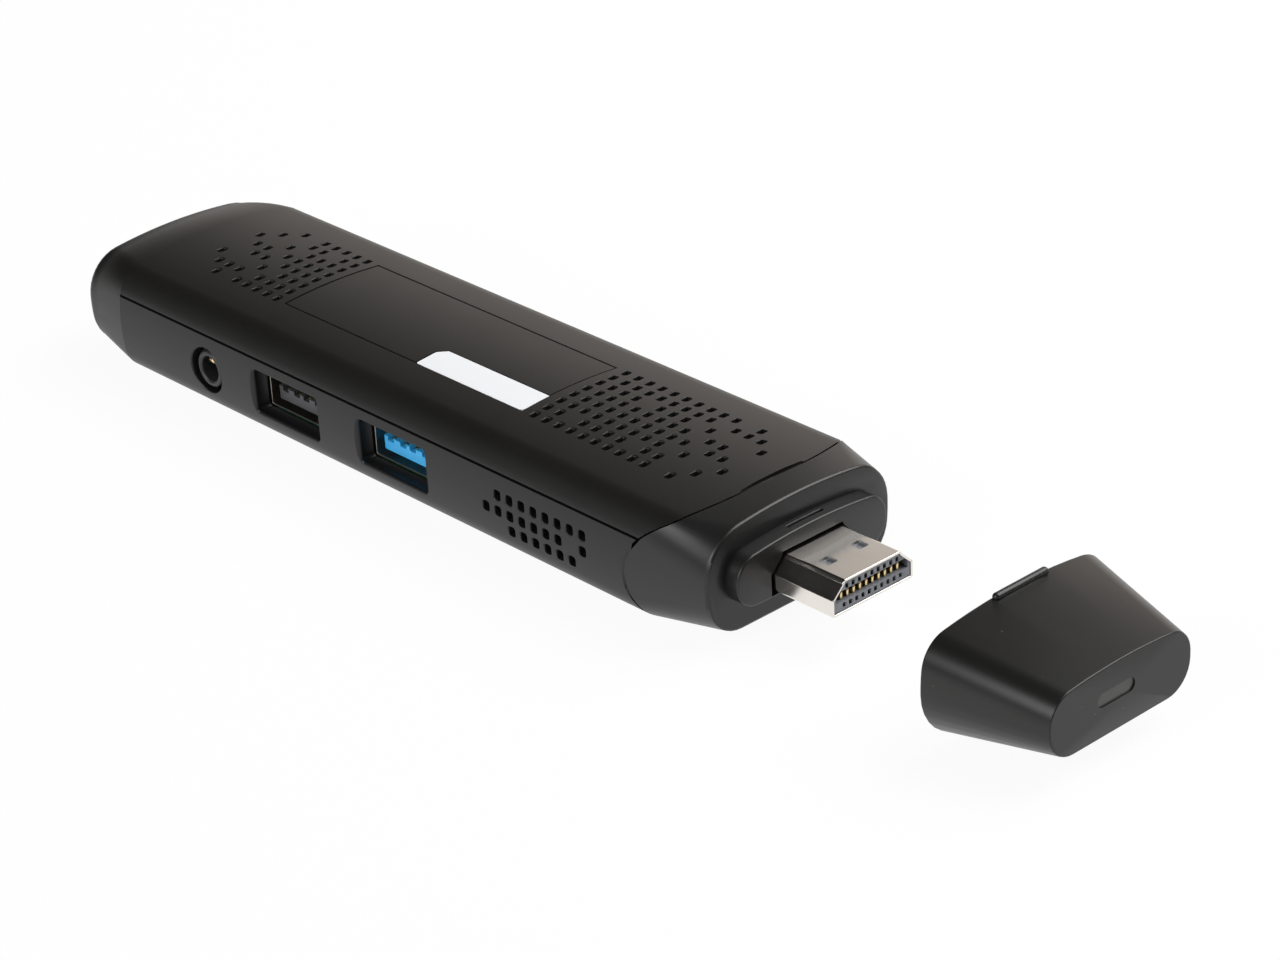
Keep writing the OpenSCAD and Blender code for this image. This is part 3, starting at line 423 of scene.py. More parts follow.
def round_over(edge, section, radius, towards, steps=14):
    """Rings of a quarter round that ends in a flat face at x = edge; towards is +1 or -1 along X."""
    turns = [math.pi / 2 * i / steps for i in range(steps + 1)]
    return [ring(edge - towards * radius * (1 - math.sin(t)), section, radius * (1 - math.cos(t))) for t in turns]


SEAM_BACK, SEAM_R, SEAM_GAP = 16.55, 45.0, 0.3
SEAM_TURN = (-90, -60, -46, -38, -28, -12, 0, 13, 21, 27, 33, 38, 42, 46, 54, 62, 71, 90)
SEAM_SWEEP = (23.0, 23.4, 24.0, 24.7, 26.1, 26.4, 26.1, 25.05, 24.1, 23.1, 21.8, 20.6, 19.6, 18.8, 17.9, 17.2, 16.75,
              16.55)
STANDOFF_TURN, STANDOFF = (18, 34), (0.2, 0.0)
TAIL_X, CREASE_X, TAIL_ROUND = PLUG_X - 140.4, PLUG_X - 129.8, 2.2
RIM_X, BEZEL_X, RIM_ROUND, BEZEL_ROUND = PLUG_X - 12.3, PLUG_X - 10.0, 0.45, 0.3
CAP_X, CAP_END_X, MOUTH_ROUND, END_ROUND = PLUG_X + 22.5, PLUG_X + 39.1, 0.3, 0.2


def seam_x(y, z, ahead=0.0):
    """The nose seam by its turn round the section, from below to above: it sweeps well back along the sides.
    The edge ahead of it, on the collar, stands off a little more there."""
    half, middle = BODY[0], BODY[2] / 2
    turn = math.degrees(math.atan2((z - middle) / middle, abs(y) / half))
    back, extra = float(np.interp(turn, SEAM_TURN, SEAM_SWEEP)), float(np.interp(turn, STANDOFF_TURN, STANDOFF))
    return PLUG_X - back + ahead * extra


def tail_section(share):
    bent = list(between(BODY, TAIL, share))
    bent[2] = BODY[2] + (TAIL[2] - BODY[2]) * share * share
    return tuple(bent)


def tail_rings():
    shares = [i / 20 for i in range(21)]
    flank = [ring(CREASE_X + (TAIL_X + TAIL_ROUND - CREASE_X) * t, tail_section(t)) for t in shares]
    return flank + round_over(TAIL_X, TAIL, TAIL_ROUND, -1)[1:]


def collar_rings():
    seam = [(seam_x(y, z, 1.0) + SEAM_GAP, y, z) for _, y, z in ring(0, BODY)]
    face = ring(RIM_X - RIM_ROUND, RIM)
    flank = [[between(p, q, i / 10) for p, q in zip(seam, face)] for i in range(11)]
    return flank + round_over(RIM_X, RIM, RIM_ROUND, 1)[1:]


def cap_rings():
    mouth = list(reversed(round_over(CAP_X, MOUTH, MOUTH_ROUND, -1)))
    start, end = mouth[-1], ring(CAP_END_X - END_ROUND, CAP_END)
    flank = [[between(p, q, i / 10) for p, q in zip(start, end)] for i in range(1, 11)]
    return mouth + flank + round_over(CAP_END_X, CAP_END, END_ROUND, 1)[1:]


def straight_rings(inset=0.0, steps=40):
    ends = CREASE_X, PLUG_X - SEAM_BACK + 2
    return [ring(ends[0] + (ends[1] - ends[0]) * i / steps, BODY, inset) for i in range(steps + 1)]


BODY_SKIN = skin(straight_rings())
TAIL_SKIN = skin(tail_rings())
COLLAR_SKIN = skin(collar_rings())
BEZEL_SKIN = skin([ring(RIM_X - 1.5, BEZEL)] + round_over(BEZEL_X, BEZEL, BEZEL_ROUND, 1))
CAP_SKIN = skin(cap_rings())
print("skins ready, cap ends at mm:", round(CAP_END_X, 3))

# %% [markdown]
# ## Copies that can be shaped
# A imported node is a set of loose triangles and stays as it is. A copy is welded first, so it can be cut and smoothed.
# After cutting, edges sharper than about thirty degrees stay sharp, and the faces on a skin take its normals.
# A piece without a skin is shaded by face area, so that its flat faces look flat between rounded edges.

# %% Copies that can be shaped
WELD, LEVEL = 1e-7, 0.003


def welded(node, name):
    mesh = NODES[node].data.copy()
    mesh.name = name
    work = bmesh.new()
    work.from_mesh(mesh)
    bmesh.ops.remove_doubles(work, verts=work.verts, dist=WELD)
    bmesh.ops.dissolve_limit(work, angle_limit=LEVEL, verts=work.verts, edges=work.edges)
    bmesh.ops.dissolve_degenerate(work, dist=WELD, edges=work.edges)
    work.to_mesh(mesh)
    work.free()
    return linked(name, mesh)


def baked(piece):
    """The piece with its modifiers worked into a plain mesh."""
    held = piece.evaluated_get(bpy.context.evaluated_depsgraph_get())
    mesh = bpy.data.meshes.new_from_object(held)
    piece.modifiers.clear()
    piece.data = mesh
    return piece


def cut_away(piece, cutter):
    tool = piece.modifiers.new("cut", "BOOLEAN")
    tool.operation, tool.solver, tool.object = "DIFFERENCE", "EXACT", cutter
    baked(piece)
    bpy.data.objects.remove(cutter)
    return piece


def smoothed(piece, skins=(), sharp=32.0, reach=0.07):
    mesh = piece.data
    mesh.shade_smooth()
    mesh.set_sharp_from_angle(angle=math.radians(sharp))
    if not skins:
        even = piece.modifiers.new("even_shading", "WEIGHTED_NORMAL")
        even.keep_sharp, even.weight = True, 100
        return baked(piece)
    normals = [corner.vector.copy() for corner in mesh.corner_normals]
    on_skin = 0
    for face in mesh.polygons:
        centre = face.center / MM
        ranked = [(skin_normal(patch, centre), patch) for patch in skins]
        fit = [(found[1], patch) for found, patch in ranked
               if found[1] < reach and found[0].dot(face.normal) > 0.9]
        if not fit:
            continue
        patch = min(fit, key=lambda row: row[0])[1]
        on_skin += 1
        for loop in face.loop_indices:
            spot = mesh.vertices[mesh.loops[loop].vertex_index].co / MM
            normals[loop] = skin_normal(patch, spot)[0]
    mesh.normals_split_custom_set(normals)
    print(piece.name, "faces:", len(mesh.polygons), "on a skin:", on_skin)
    return piece


def fitted(piece, *nodes, finish=None):
    """Gives a finished piece its material, and lets it ride where its node rides."""
    piece.data.materials.clear()
    piece.data.materials.append(finish or FINISH[SLOT_OF[nodes[0]]])
    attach(piece, BODY_OF[nodes[0]])
    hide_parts(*nodes)
    print(piece.name, "stands for", ", ".join(nodes))
    return piece


print("shaping tools ready")

# %% [markdown]
# ## Seams
# On the real stick the side seam runs a millimetre lower than on its solids, and the nose seam sweeps further back.
# The walls are straight along X and bowed along Z, so seam points can slide on them without changing the form.
# Heights near the side seam go through a small table. Points near the nose seam move along X, less with distance.

# %% Seams
SOLID_HEIGHTS = (10.9, 12.4, 12.9, 13.05, 14.0)
TRUE_HEIGHTS = (10.9, 11.3, 11.66, 12.02, 14.0)
TAIL_NOTCH, WALL_FROM = 1.05, 12
ROOM_LEAST, ROOM_MOST, ROOM_PER_SLIDE = 3.0, 12.4, 2.2


def wall_y(z):
    return float(np.interp(z, side_z, side_y))


def reseamed(piece):
    slid = 0
    for vertex in piece.data.vertices:
        x, y, z = vertex.co / MM
        solid_seam = PLUG_X - SEAM_BACK - SEAM_R + math.sqrt(SEAM_R ** 2 - y * y)
        if CREASE_X - TAIL_NOTCH < x < solid_seam + 0.05 and SOLID_HEIGHTS[0] < z < SOLID_HEIGHTS[-1]:
            low = float(np.interp(z, SOLID_HEIGHTS, TRUE_HEIGHTS))
            if abs(y) > WALL_FROM:
                y += math.copysign(wall_y(low) - wall_y(z), y)
            z = low
        slide = seam_x(y, z, float(x > solid_seam + 0.1)) - solid_seam
        room = RIM_X - RIM_ROUND - solid_seam
        if x < solid_seam:
            room = min(max(ROOM_LEAST, -ROOM_PER_SLIDE * slide), ROOM_MOST)
        share = 1 - max(abs(x - solid_seam) - SEAM_GAP, 0.0) / room
        slid += share > 0
        vertex.co = Vector((x + slide * max(share, 0.0), y, z)) * MM
    print(piece.name, "points near the nose seam:", slid)
    return piece


print("side seam lowered by mm:", round(SOLID_HEIGHTS[2] - TRUE_HEIGHTS[2], 2))

# %% [markdown]
# ## Outlines and lofts
# Sheet-metal shells, sockets and cutting bits are all lofts: one rounded outline, set in or out and carried along
# an axis. An outline keeps a normal at each point, so setting it in by a sheet's thickness keeps the bends even.

# %% Outlines and lofts
def filleted(corners, radius, steps=5):
    """Closed outline in two axes whose corners are rounded; corners run anticlockwise."""
    points = []
    count = len(corners)
    for i, corner in enumerate(corners):
        here = Vector(corner)
        back, ahead = Vector(corners[i - 1]) - here, Vector(corners[(i + 1) % count]) - here
        wedge = back.angle(ahead)
        bend = radius[i] if isinstance(radius, (list, tuple)) else radius
        run = min(bend / math.tan(wedge / 2), 0.45 * back.length, 0.45 * ahead.length)
        start, end = here + back.normalized() * run, here + ahead.normalized() * run
        for k in range(steps + 1):
            t = k / steps
            points.append(start * (1 - t) ** 2 + here * 2 * t * (1 - t) + end * t * t)
    normals = []
    for i in range(len(points)):
        tangent = points[(i + 1) % len(points)] - points[i - 1]
        normals.append(Vector((tangent.y, -tangent.x)).normalized())
    return points, normals


def rectangle(width, height, radius, steps=5, at=(0.0, 0.0)):
    w, h = width / 2, height / 2
    corners = [(at[0] - w, at[1] - h), (at[0] + w, at[1] - h), (at[0] + w, at[1] + h), (at[0] - w, at[1] + h)]
    return filleted(corners, radius, steps)


def loft(name, outline, profile, place, closed=False):
    """profile lists (set-out, station); place turns (a, b, station) into millimetres in the frame."""
    points, normals = outline
    work = bmesh.new()
    rings = []
    for out, station in profile:
        rings.append([work.verts.new(Vector(place(*(p + n * out), station)) * MM) for p, n in zip(points, normals)])
    for low, high in zip(rings, rings[1:] + (rings[:1] if closed else [])):
        for i in range(len(low)):
            j = (i + 1) % len(low)
            work.faces.new((low[i], low[j], high[j], high[i]))
    if not closed:
        work.faces.new(list(reversed(rings[0])))
        work.faces.new(rings[-1])
    bmesh.ops.recalc_face_normals(work, faces=work.faces)
    mesh = bpy.data.meshes.new(name)
    work.to_mesh(mesh)
    work.free()
    return linked(name, mesh)


def merged(name, pieces):
    """Several loose meshes as one object."""
    work = bmesh.new()
    for piece in pieces:
        work.from_mesh(piece.data)
    mesh = bpy.data.meshes.new(name)
    work.to_mesh(mesh)
    work.free()
    for piece in pieces:
        bpy.data.objects.remove(piece)
    return linked(name, mesh)


OVERCUT, ROLL, FLARE, FLARE_SHARE = 0.012, math.radians(78), math.radians(12), 0.2


def router(radius, depth, steps=4, rise=0.25):
    """Profile of a bit that goes down by depth and rounds the edge of a hole over by radius."""
    rows = [(OVERCUT, depth), (OVERCUT, radius)]
    for k in range(1, steps + 1):
        turn = ROLL * k / steps
        rows.append((OVERCUT + radius * (1 - math.cos(turn)), radius * (1 - math.sin(turn))))
    out, low = rows[-1]
    rows.append((out + (low + rise) / math.tan(FLARE) * FLARE_SHARE, -rise))
    return rows


print("loft tools ready")

# %% [markdown]
# ## One lattice tree for everything that repeats
# Vent holes, grille holes, contacts and screws are the same idea: one small shape, set on a list of places.
# The tree takes places in pitch steps, spreads them by the pitch, lays them on a crowned surface, tilts each one
# with that surface, and at the end turns and moves the whole field. Its sizes are named inputs.

# %% One lattice tree for everything that repeats
def lattice_tree():
    tree = bpy.data.node_groups.new("lattice", "GeometryNodeTree")
    inputs = (("Places", "NodeSocketGeometry"), ("Shape", "NodeSocketObject"), ("Pitch along", "NodeSocketFloat"),
              ("Pitch across", "NodeSocketFloat"), ("Crown radius", "NodeSocketFloat"),
              ("Turn", "NodeSocketVector"), ("Move", "NodeSocketVector"), ("Finish", "NodeSocketMaterial"))
    for name, kind in inputs:
        tree.interface.new_socket(name, in_out="INPUT", socket_type=kind)
    tree.interface.new_socket("Field", in_out="OUTPUT", socket_type="NodeSocketGeometry")
    sheet = Sheet(tree)

    def given(name):
        return sheet.node("NodeGroupInput", out=name)

    spot = sheet.node("GeometryNodeInputPosition")
    x, y, z = (sheet.node("ShaderNodeSeparateXYZ", {}, {0: spot}, out=k) for k in range(3))
    across = y * given("Pitch across")
    crown = given("Crown radius")
    squared = crown * crown - across * across
    drop = squared.math("SQRT", squared) - crown
    laid = sheet.node("ShaderNodeCombineXYZ", {}, {0: x * given("Pitch along"), 1: across, 2: z + drop})
    lean = across / crown
    tilt = -lean.math("ARCSINE", lean)
    turned = sheet.node("FunctionNodeEulerToRotation", {}, {
        0: sheet.node("ShaderNodeCombineXYZ", {}, {0: tilt, 1: 0.0, 2: 0.0})})
    spread = sheet.node("GeometryNodeSetPosition", {}, {"Geometry": given("Places"), "Position": laid})
    shape = sheet.node("GeometryNodeObjectInfo", {}, {"Object": given("Shape")}, out="Geometry")
    many = sheet.node("GeometryNodeInstanceOnPoints", {}, {"Points": spread, "Instance": shape, "Rotation": turned})
    whole = sheet.node("GeometryNodeRealizeInstances", {}, {0: many})
    moved = sheet.node("GeometryNodeTransform", {}, {
        "Geometry": whole, "Translation": given("Move"), "Rotation": given("Turn")})
    dressed = sheet.node("GeometryNodeSetMaterial", {}, {"Geometry": moved, "Material": given("Finish")})
    sheet.node("NodeGroupOutput", {}, {0: dressed})
    return tree


LATTICE = lattice_tree()
FLAT = 1000.0


def field(name, shape, places, along=1.0, across=1.0, crown=FLAT, turn=(0, 0, 0), move=(0, 0, 0), finish=None):
    """Sets shape on places, which are in pitch steps; pitch and move are in millimetres."""
    mesh = bpy.data.meshes.new(name)
    mesh.from_pydata([Vector(p) for p in places], [], [])
    piece = linked(name, mesh)
    values = {"Shape": shape, "Pitch along": along * MM, "Pitch across": across * MM,
              "Crown radius": crown * MM, "Turn": Euler(turn), "Move": Vector(move) * MM,
              "Finish": finish or FINISH["housing_plastic"]}
    maker = piece.modifiers.new("lattice", "NODES")
    maker.node_group = LATTICE
    for item in LATTICE.interface.items_tree:
        if item.in_out == "INPUT" and item.name in values:
            maker[item.identifier] = values[item.name]
    baked(piece)
    bpy.data.objects.remove(shape)
    print(name, "places:", len(places), "faces:", len(piece.data.polygons))
    return piece


print("lattice nodes:", len(LATTICE.nodes))

# %% [markdown]
# ## Vent holes
# The cover is perforated by two fields of small oblong holes whose edges are softened by the mould.
# The holes are already in the solid. A bit with a rounded shoulder, as on a router, goes through each of them
# once more: it rounds the corners of the hole and rolls its upper edge over.

# %% Vent holes
PITCH, VENT_HOLE = 2.272, (0.94, 1.36, 0.34)
NEAR_VENT_X, FAR_VENT_X = PLUG_X - 33.51, PLUG_X - 109.17
NEAR_ROWS = ("##########.#..", "##.####.##..#.", "#########.#..#", "##########.##.",
             "#########.##..", "####.###.#...#", "#########.###.", "##########.#..")


def upright(a, b, down):
    return a, b, -down


def vent_places():
    near, far, middle = NEAR_VENT_X / PITCH, FAR_VENT_X / PITCH, (len(NEAR_ROWS) - 1) / 2
    rows = [(near + i - 8, j - middle, 0.0) for j, row in enumerate(NEAR_ROWS)
            for i, mark in enumerate(row) if mark == "#"]
    return rows + [(far + 2 - i, middle - j, 0.0) for j, row in enumerate(NEAR_ROWS)
                   for i, mark in enumerate(row[-9:]) if mark == "#"]


vent_bit = loft("vent_bit", rectangle(*VENT_HOLE, 3), router(0.17, 2.4), upright)
vent_bits = field("vent_bits", vent_bit, vent_places(), PITCH, PITCH, CROWN_R, move=(0, 0, BODY[2]))

# %% [markdown]
# ## The perforated cover
# The cover is one moulding: a crowned lid that wraps right round the tail. Its body is straight and its tail tapers,
# so it borrows normals from two skins, and the side crease between them stays crisp.

# %% The perforated cover
cover = cut_away(reseamed(welded("vent_cover", "cover_shell")), vent_bits)
smoothed(cover, (BODY_SKIN, TAIL_SKIN))
fitted(cover, "vent_cover")

# %% [markdown]
# ## Openings in the side wall
# The bowed side has two socket windows, a round recess for the headphone socket and a small grille.
# A window's edge is rolled over by about half a millimetre, which catches the light. Its bit is lofted so that
# every ring keeps an even depth under the bowed wall. The grille uses the lattice, turned to face sideways.

# %% Openings in the side wall
def in_wall(sign):
    return lambda a, b, down: (a, sign * (wall_y(b) - down), b)


def round_outline(x, z, radius, count=48):
    turns = [2 * math.pi * i / count for i in range(count)]
    normals = [Vector((math.cos(t), math.sin(t))) for t in turns]
    return [Vector((x, z)) + n * radius for n in normals], normals


USB3_X, USB2_X, JACK_X, INLET_X = (PLUG_X - back for back in (70.6, 92.9, 110.3, 116.0))
BUTTON_X, LIGHT_X = PLUG_X - 88.0, PLUG_X - 97.6
USB_Z, JACK_Z, INLET_Z, BUTTON_Z, LIGHT_Z = 7.0, 6.6, 5.55, 8.4, 6.35
GRILLE_Z, GRILLE_HOLE, WINDOW = 4.32, (1.2, 1.35, 0.36), (13.6, 6.2, 0.62)
INLET_HOLE, BUTTON_HOLE, JACK_RECESS, LIGHT_R = (8.4, 3.6, 0.95), (9.3, 3.5, 1.74), 3.3, 0.8
GRILLE = ((-6, -5, -4, -3, -2, -1), (-8, -7, -6, -5, -4, -3, -2, 0), (-7, -6, -5, -4, -3, -2, -1, 0))
grille_places = [(NEAR_VENT_X / PITCH + i, (GRILLE_Z - BODY[5]) / PITCH + r, 0.0)
                 for r, row in enumerate(GRILLE) for i in row]
grille_bit = loft("grille_bit", rectangle(*GRILLE_HOLE, 3), router(0.17, 2.2), upright)
grille_bits = field("grille_bits", grille_bit, grille_places, PITCH, PITCH, SIDE_R, turn=(math.pi / 2, 0, 0),
                    move=(0, -BODY[0], BODY[5]))
near_wall, far_wall = in_wall(-1), in_wall(1)
openings = [("window_bit", rectangle(*WINDOW, 4, (x, USB_Z)), router(0.55, 2.35, 6), near_wall)
            for x in (USB3_X, USB2_X)]
openings += [
    ("jack_bit", round_outline(JACK_X, JACK_Z, JACK_RECESS), router(0.3, 1.6, 5), near_wall),
    ("inlet_bit", rectangle(*INLET_HOLE, 4, (INLET_X, INLET_Z)), router(0.3, 1.6, 5), far_wall),
    ("button_bit", rectangle(*BUTTON_HOLE, 8, (BUTTON_X, BUTTON_Z)), router(0.2, 1.3, 4), far_wall),
    ("light_bit", round_outline(LIGHT_X, LIGHT_Z, LIGHT_R, 24), router(0.12, 1.2, 3), far_wall)]
side_bits = [grille_bits] + [loft(*opening) for opening in openings]
housing = cut_away(reseamed(welded("main_housing", "housing_shell")), merged("side_bits", side_bits))
smoothed(housing, (BODY_SKIN,))
fitted(housing, "main_housing")

# %% [markdown]
# ## Nose collar and cap
# The collar tapers from the curved seam to a flat face, and an oblong bezel stands out of it round the plug.
# The cap is a deeper taper with a crisp small end, a rounded grip lip on its rim and a shallow slot in its end.
# Both are copies of their solids with the skins' normals. The slot's floor is a little smoother and much paler in tone,
# a painted sheen.
# The bezel's front edge is crisper than on its solid, so the rings of that round are drawn in towards the edge.

# %% Nose collar and cap
SOLID_BEZEL_ROUND = 0.7
CAP_SLOT_DEPTH, CAP_SLOT_Z, CAP_SLOT_REACH = 0.2, 8.6, 1.2


def crisper(piece, edge, section, old, new):
    """Draws the round where a lofted wall meets its flat face at x = edge in from one radius to a smaller one."""
    outline = [Vector(point[1:]) for point in ring(0, section)]
    moved = 0
    for vertex in piece.data.vertices:
        x, y, z = vertex.co / MM
        depth = edge - x
        if not -0.001 < depth < old + 0.001:
            continue
        inset = old - math.sqrt(max(old ** 2 - (old - depth) ** 2, 0.0))
        sides = [(Vector((y, z)) - a, b - a, a) for a, b in zip(outline, outline[1:] + outline[:1])]
        feet = [a + way * min(max(off.dot(way) / way.length_squared, 0.0), 1.0) for off, way, a in sides]
        foot = min(feet, key=lambda p: (p - Vector((y, z))).length)
        gap = Vector((y, z)) - foot
        if abs(gap.length - inset) < 0.03:
            vertex.co = Vector((edge - depth * new / old, *(foot + gap * new / old))) * MM
            moved += 1
    print(piece.name, "points drawn in:", moved)
    return piece


collar = reseamed(welded("nose_collar", "collar_shell"))
crisper(collar, BEZEL_X, BEZEL, SOLID_BEZEL_ROUND, BEZEL_ROUND)
smoothed(collar, (COLLAR_SKIN, BEZEL_SKIN))
fitted(collar, "nose_collar", finish=COLLAR_PLASTIC)
cap = smoothed(welded("end_cap", "cap_shell"), (CAP_SKIN,))
fitted(cap, "end_cap", finish=CAP_PLASTIC)
# The floor of the slot takes the paler finish: painted sheen.
cap.data.materials.append(SLOT_PAINTED_SHEEN)
slot_floor = [face for face in cap.data.polygons if face.normal.x > 0.9 and
              abs(face.center.x / MM - CAP_END_X + CAP_SLOT_DEPTH) < 0.02 and
              abs(face.center.z / MM - CAP_SLOT_Z) < CAP_SLOT_REACH]
for face in slot_floor:
    face.material_index = 1
print("faces of the slot:", len(slot_floor))

# %% [markdown]
# ## Label film and sticker
# The film lies in a shallow recess of the crowned cover, and a white sticker fills one corner of that recess.
# Both bend with the crown, so they borrow the normals of the section they lie on.

# %% Label film and sticker
def eased(piece, radius, pick, steps=5):
    """Rounds some edges of a welded copy; pick tests the middle and the direction of an edge in millimetres."""
    work = bmesh.new()
    work.from_mesh(piece.data)
    ends = [(edge, edge.verts[0].co / MM, edge.verts[1].co / MM) for edge in work.edges]
    chosen = [edge for edge, a, b in ends if pick((a + b) / 2, (b - a).normalized())]
    bmesh.ops.bevel(work, geom=chosen, offset=radius * MM, segments=steps, profile=0.5, affect="EDGES")
    work.to_mesh(piece.data)
    work.free()
    print(piece.name, "eased edges:", len(chosen))
    return piece


FILM_SKIN = skin(straight_rings(0.04))
STICKER_X = PLUG_X - 74.8
label = eased(welded("rating_label", "label_film"), 1.3,
              lambda spot, way: abs(way.z) > 0.9 and -5 < spot.y < -2 and abs(spot.x - STICKER_X) < 1, 1)
fitted(smoothed(label, (FILM_SKIN,)), "rating_label")
sticker = eased(welded("serial_sticker", "white_sticker"), 0.9,
                lambda spot, way: abs(way.z) > 0.9 and spot.x > STICKER_X + 20 and spot.y < -6)
eased(sticker, 0.3, lambda spot, way: abs(way.z) > 0.9 and spot.x < STICKER_X + 0.5 and spot.y < -6)
fitted(smoothed(sticker, (BODY_SKIN,)), "serial_sticker")

# %% [markdown]
# ## The plug shell
# The plug's shell is nickel-plated steel, bent round a die and closed underneath. Its outline is a rectangle below
# and slopes in above. It is lofted from its filleted outline with a rolled front edge, so the bends and the lip
# catch the light. Two windows for the latch springs of a socket are cut in its top.

# %% The plug shell
PLUG_W, PLUG_H, PLUG_Z, PLUG_L, SHEET = 13.9, 4.45, 5.68, 22.0, 0.32
LATCH_X, LATCH_Y, LATCH_WINDOW, LATCH_POCKET = PLUG_X - 4.8, 2.68, (1.76, 1.72, 0.36), (1.66, 1.62, 0.3)


def plug_outline():
    w, h = PLUG_W / 2, PLUG_H
    right = [(w, PLUG_Z), (w, PLUG_Z + h * 0.53), (w - 0.5, PLUG_Z + h * 0.62),
             (w * 0.74, PLUG_Z + h * 0.9), (w * 0.7, PLUG_Z + h)]
    bends = [0.42, 0.12, 0.12, 0.3, 0.42]
    return filleted(right + [(-y, z) for y, z in reversed(right)], bends + bends[::-1])


def along_stick(a, b, station):
    return PLUG_X + station, a, b


def rolled_lip(front, back, sheet=SHEET, ease=0.07, steps=3):
    """Profile of a sheet tube: the inner wall, a front edge with two small rounds, then the outer wall."""
    turns = [math.pi / 2 * k / steps for k in range(steps + 1)]
    inner = [(-sheet + ease * (1 - math.cos(t)), front - ease * (1 - math.sin(t))) for t in turns]
    outer = [(-ease * (1 - math.sin(t)), front - ease * (1 - math.cos(t))) for t in turns]
    return [(-sheet, back)] + inner + outer + [(0.0, back)]


plug = loft("plug_shell", plug_outline(), rolled_lip(0.0, -PLUG_L), along_stick, closed=True)
windows = [loft("latch_bit", rectangle(*LATCH_WINDOW, 4, (LATCH_X, side * LATCH_Y)), [(0, 0.6), (0, 1.6)],
                lambda a, b, down: (a, b, PLUG_Z + PLUG_H + 1 - down)) for side in (-1, 1)]
cut_away(plug, merged("latch_bits", windows))
smoothed(plug, sharp=40)
fitted(plug, "hdmi_shell")

# %% [markdown]
# ## Insert and contacts of the plug
# Inside the shell sits a grey insulator with a slot, and stamped blades lie in it: ten below with upright noses,
# nine flat ones above. Insulators are softened copies of their solids. The blades and the small square holes over
# and under them are shapes on the lattice. Two shallow pockets lie under the latch windows of the shell.

# %% Insert and contacts of the plug
def softened(node, name, width, segments=2, corners=None, bits=()):
    """A welded copy whose edges are rounded by width, as on any moulding.
    Chosen corners are rounded first, and bits cut last."""
    piece = welded(node, name)
    if corners:
        eased(piece, *corners)
    edge = piece.modifiers.new("soft_edges", "BEVEL")
    edge.width, edge.segments, edge.limit_method = width * MM, segments, "ANGLE"
    edge.angle_limit = math.radians(40)
    baked(piece)
    if bits:
        cut_away(piece, merged(name + "_bits", bits))
    return smoothed(piece, sharp=50.0)


def sideways(a, b, station):
    return a, station, b


def blade(name, outline, half, place=sideways, ease=0.05):
    """A flat piece with a small round on both of its sides; its outline is in X and Z unless place says otherwise."""
    return loft(name, outline, [(-ease, -half), (0, ease - half), (0, half - ease), (-ease, half)], place)


SLOT_Z, SLOT_H, BLADE_PITCH, BLADE_SET = PLUG_Z + PLUG_H * 0.52, 1.4, 1.08, 0.55
LOW_HOLES, HIGH_HOLES, PLUG_HOLE = -1.25, 1.15, (0.5, 0.64, 0.08)
# Reach of the faces inside the small holes that take the dark insulator, as painted shade.
HOLE_SHADE_Z, HOLE_SHADE_BACK, HOLE_SHADE_FRONT, HOLE_SHADE_HALF = 0.33, -4.2, -0.3, 5.6
NOSE = [(-5.6, 0.0), (0.0, 0.0), (0.0, 1.0), (-0.42, 1.0), (-0.75, 0.3), (-5.6, 0.3)]
NOSE_ROUNDS = [0.02, 0.15, 0.2, 0.2, 0.3, 0.02]
STRIP = [(-5.6, 0.0), (-1.2, 0.0), (-1.2, 0.3), (-5.6, 0.3)]
GOLD = FINISH["gold_contact"]
rows, bits = [], []
for count, flip, nose, hole_z in ((10, 0.0, filleted(NOSE, NOSE_ROUNDS, 4), LOW_HOLES),
                                  (9, math.pi, filleted(STRIP, 0.1, 3), HIGH_HOLES)):
    places = [(0, i - (count - 1) / 2, 0) for i in range(count)]
    side = 1 if flip else -1
    rows.append(field("plug_row", blade("plug_blade", nose, 0.18), places, across=BLADE_PITCH, turn=(flip, 0, 0),
                      move=(PLUG_X - BLADE_SET, 0, SLOT_Z + side * SLOT_H / 2), finish=GOLD))
    hole = loft("hole_bit", rectangle(*PLUG_HOLE, 2), [(0, -3.2), (0, 0.5)],
                lambda a, b, station: (station, a, b))
    bits.append(field("hole_bits", hole, places, across=BLADE_PITCH, move=(PLUG_X, 0, SLOT_Z + hole_z)))
for side in (-1, 1):
    bits.append(loft("pocket_bit", rectangle(*LATCH_POCKET, 4, (LATCH_X, side * LATCH_Y)), [(0, 0.0), (0, 0.6)],
                     lambda a, b, down: (a, b, PLUG_Z + PLUG_H - down)))
insert = fitted(softened("hdmi_insert", "plug_insert", 0.05, bits=bits), "hdmi_insert", finish=PLUG_RESIN)
# Faces inside the rows of small holes take the dark insulator: painted shade in the holes.
insert.data.materials.append(FINISH["dark_insulator"])
for face in insert.data.polygons:
    spot = face.center / MM - Vector((PLUG_X, 0, SLOT_Z))
    beside = min(abs(spot.z - LOW_HOLES), abs(spot.z - HIGH_HOLES))
    if beside < HOLE_SHADE_Z and HOLE_SHADE_BACK < spot.x < HOLE_SHADE_FRONT and abs(spot.y) < HOLE_SHADE_HALF:
        face.material_index = 1
fitted(smoothed(merged("plug_contacts", rows), sharp=45), "hdmi_contacts")

# %% [markdown]
# ## USB sockets
# A socket is a folded sheet box with a rolled mouth, a moulded tongue and stamped strips: four, and five short ones
# more in the blue socket. The box is lofted from a rounded rectangle, inner wall first, then lip and outer wall.

# %% USB sockets
USB_W, USB_H, USB_L, USB_SHEET = 13.1, 5.7, 13.0, 0.25
USB_FRONT, STRIP_Z, STRIP_BACK, STUB_BACK = -14.3, 6.87, 4.9, 9.3
STRIP_BAR, STUB_BAR, STRIP_PLACES = (0.9, 0.3, 0.1), (0.56, 0.4, 0.12), (-3.5, -1.0, 1.0, 3.5)


def into_side(front, sign):
    return lambda a, b, station: (a, front + sign * station, b)


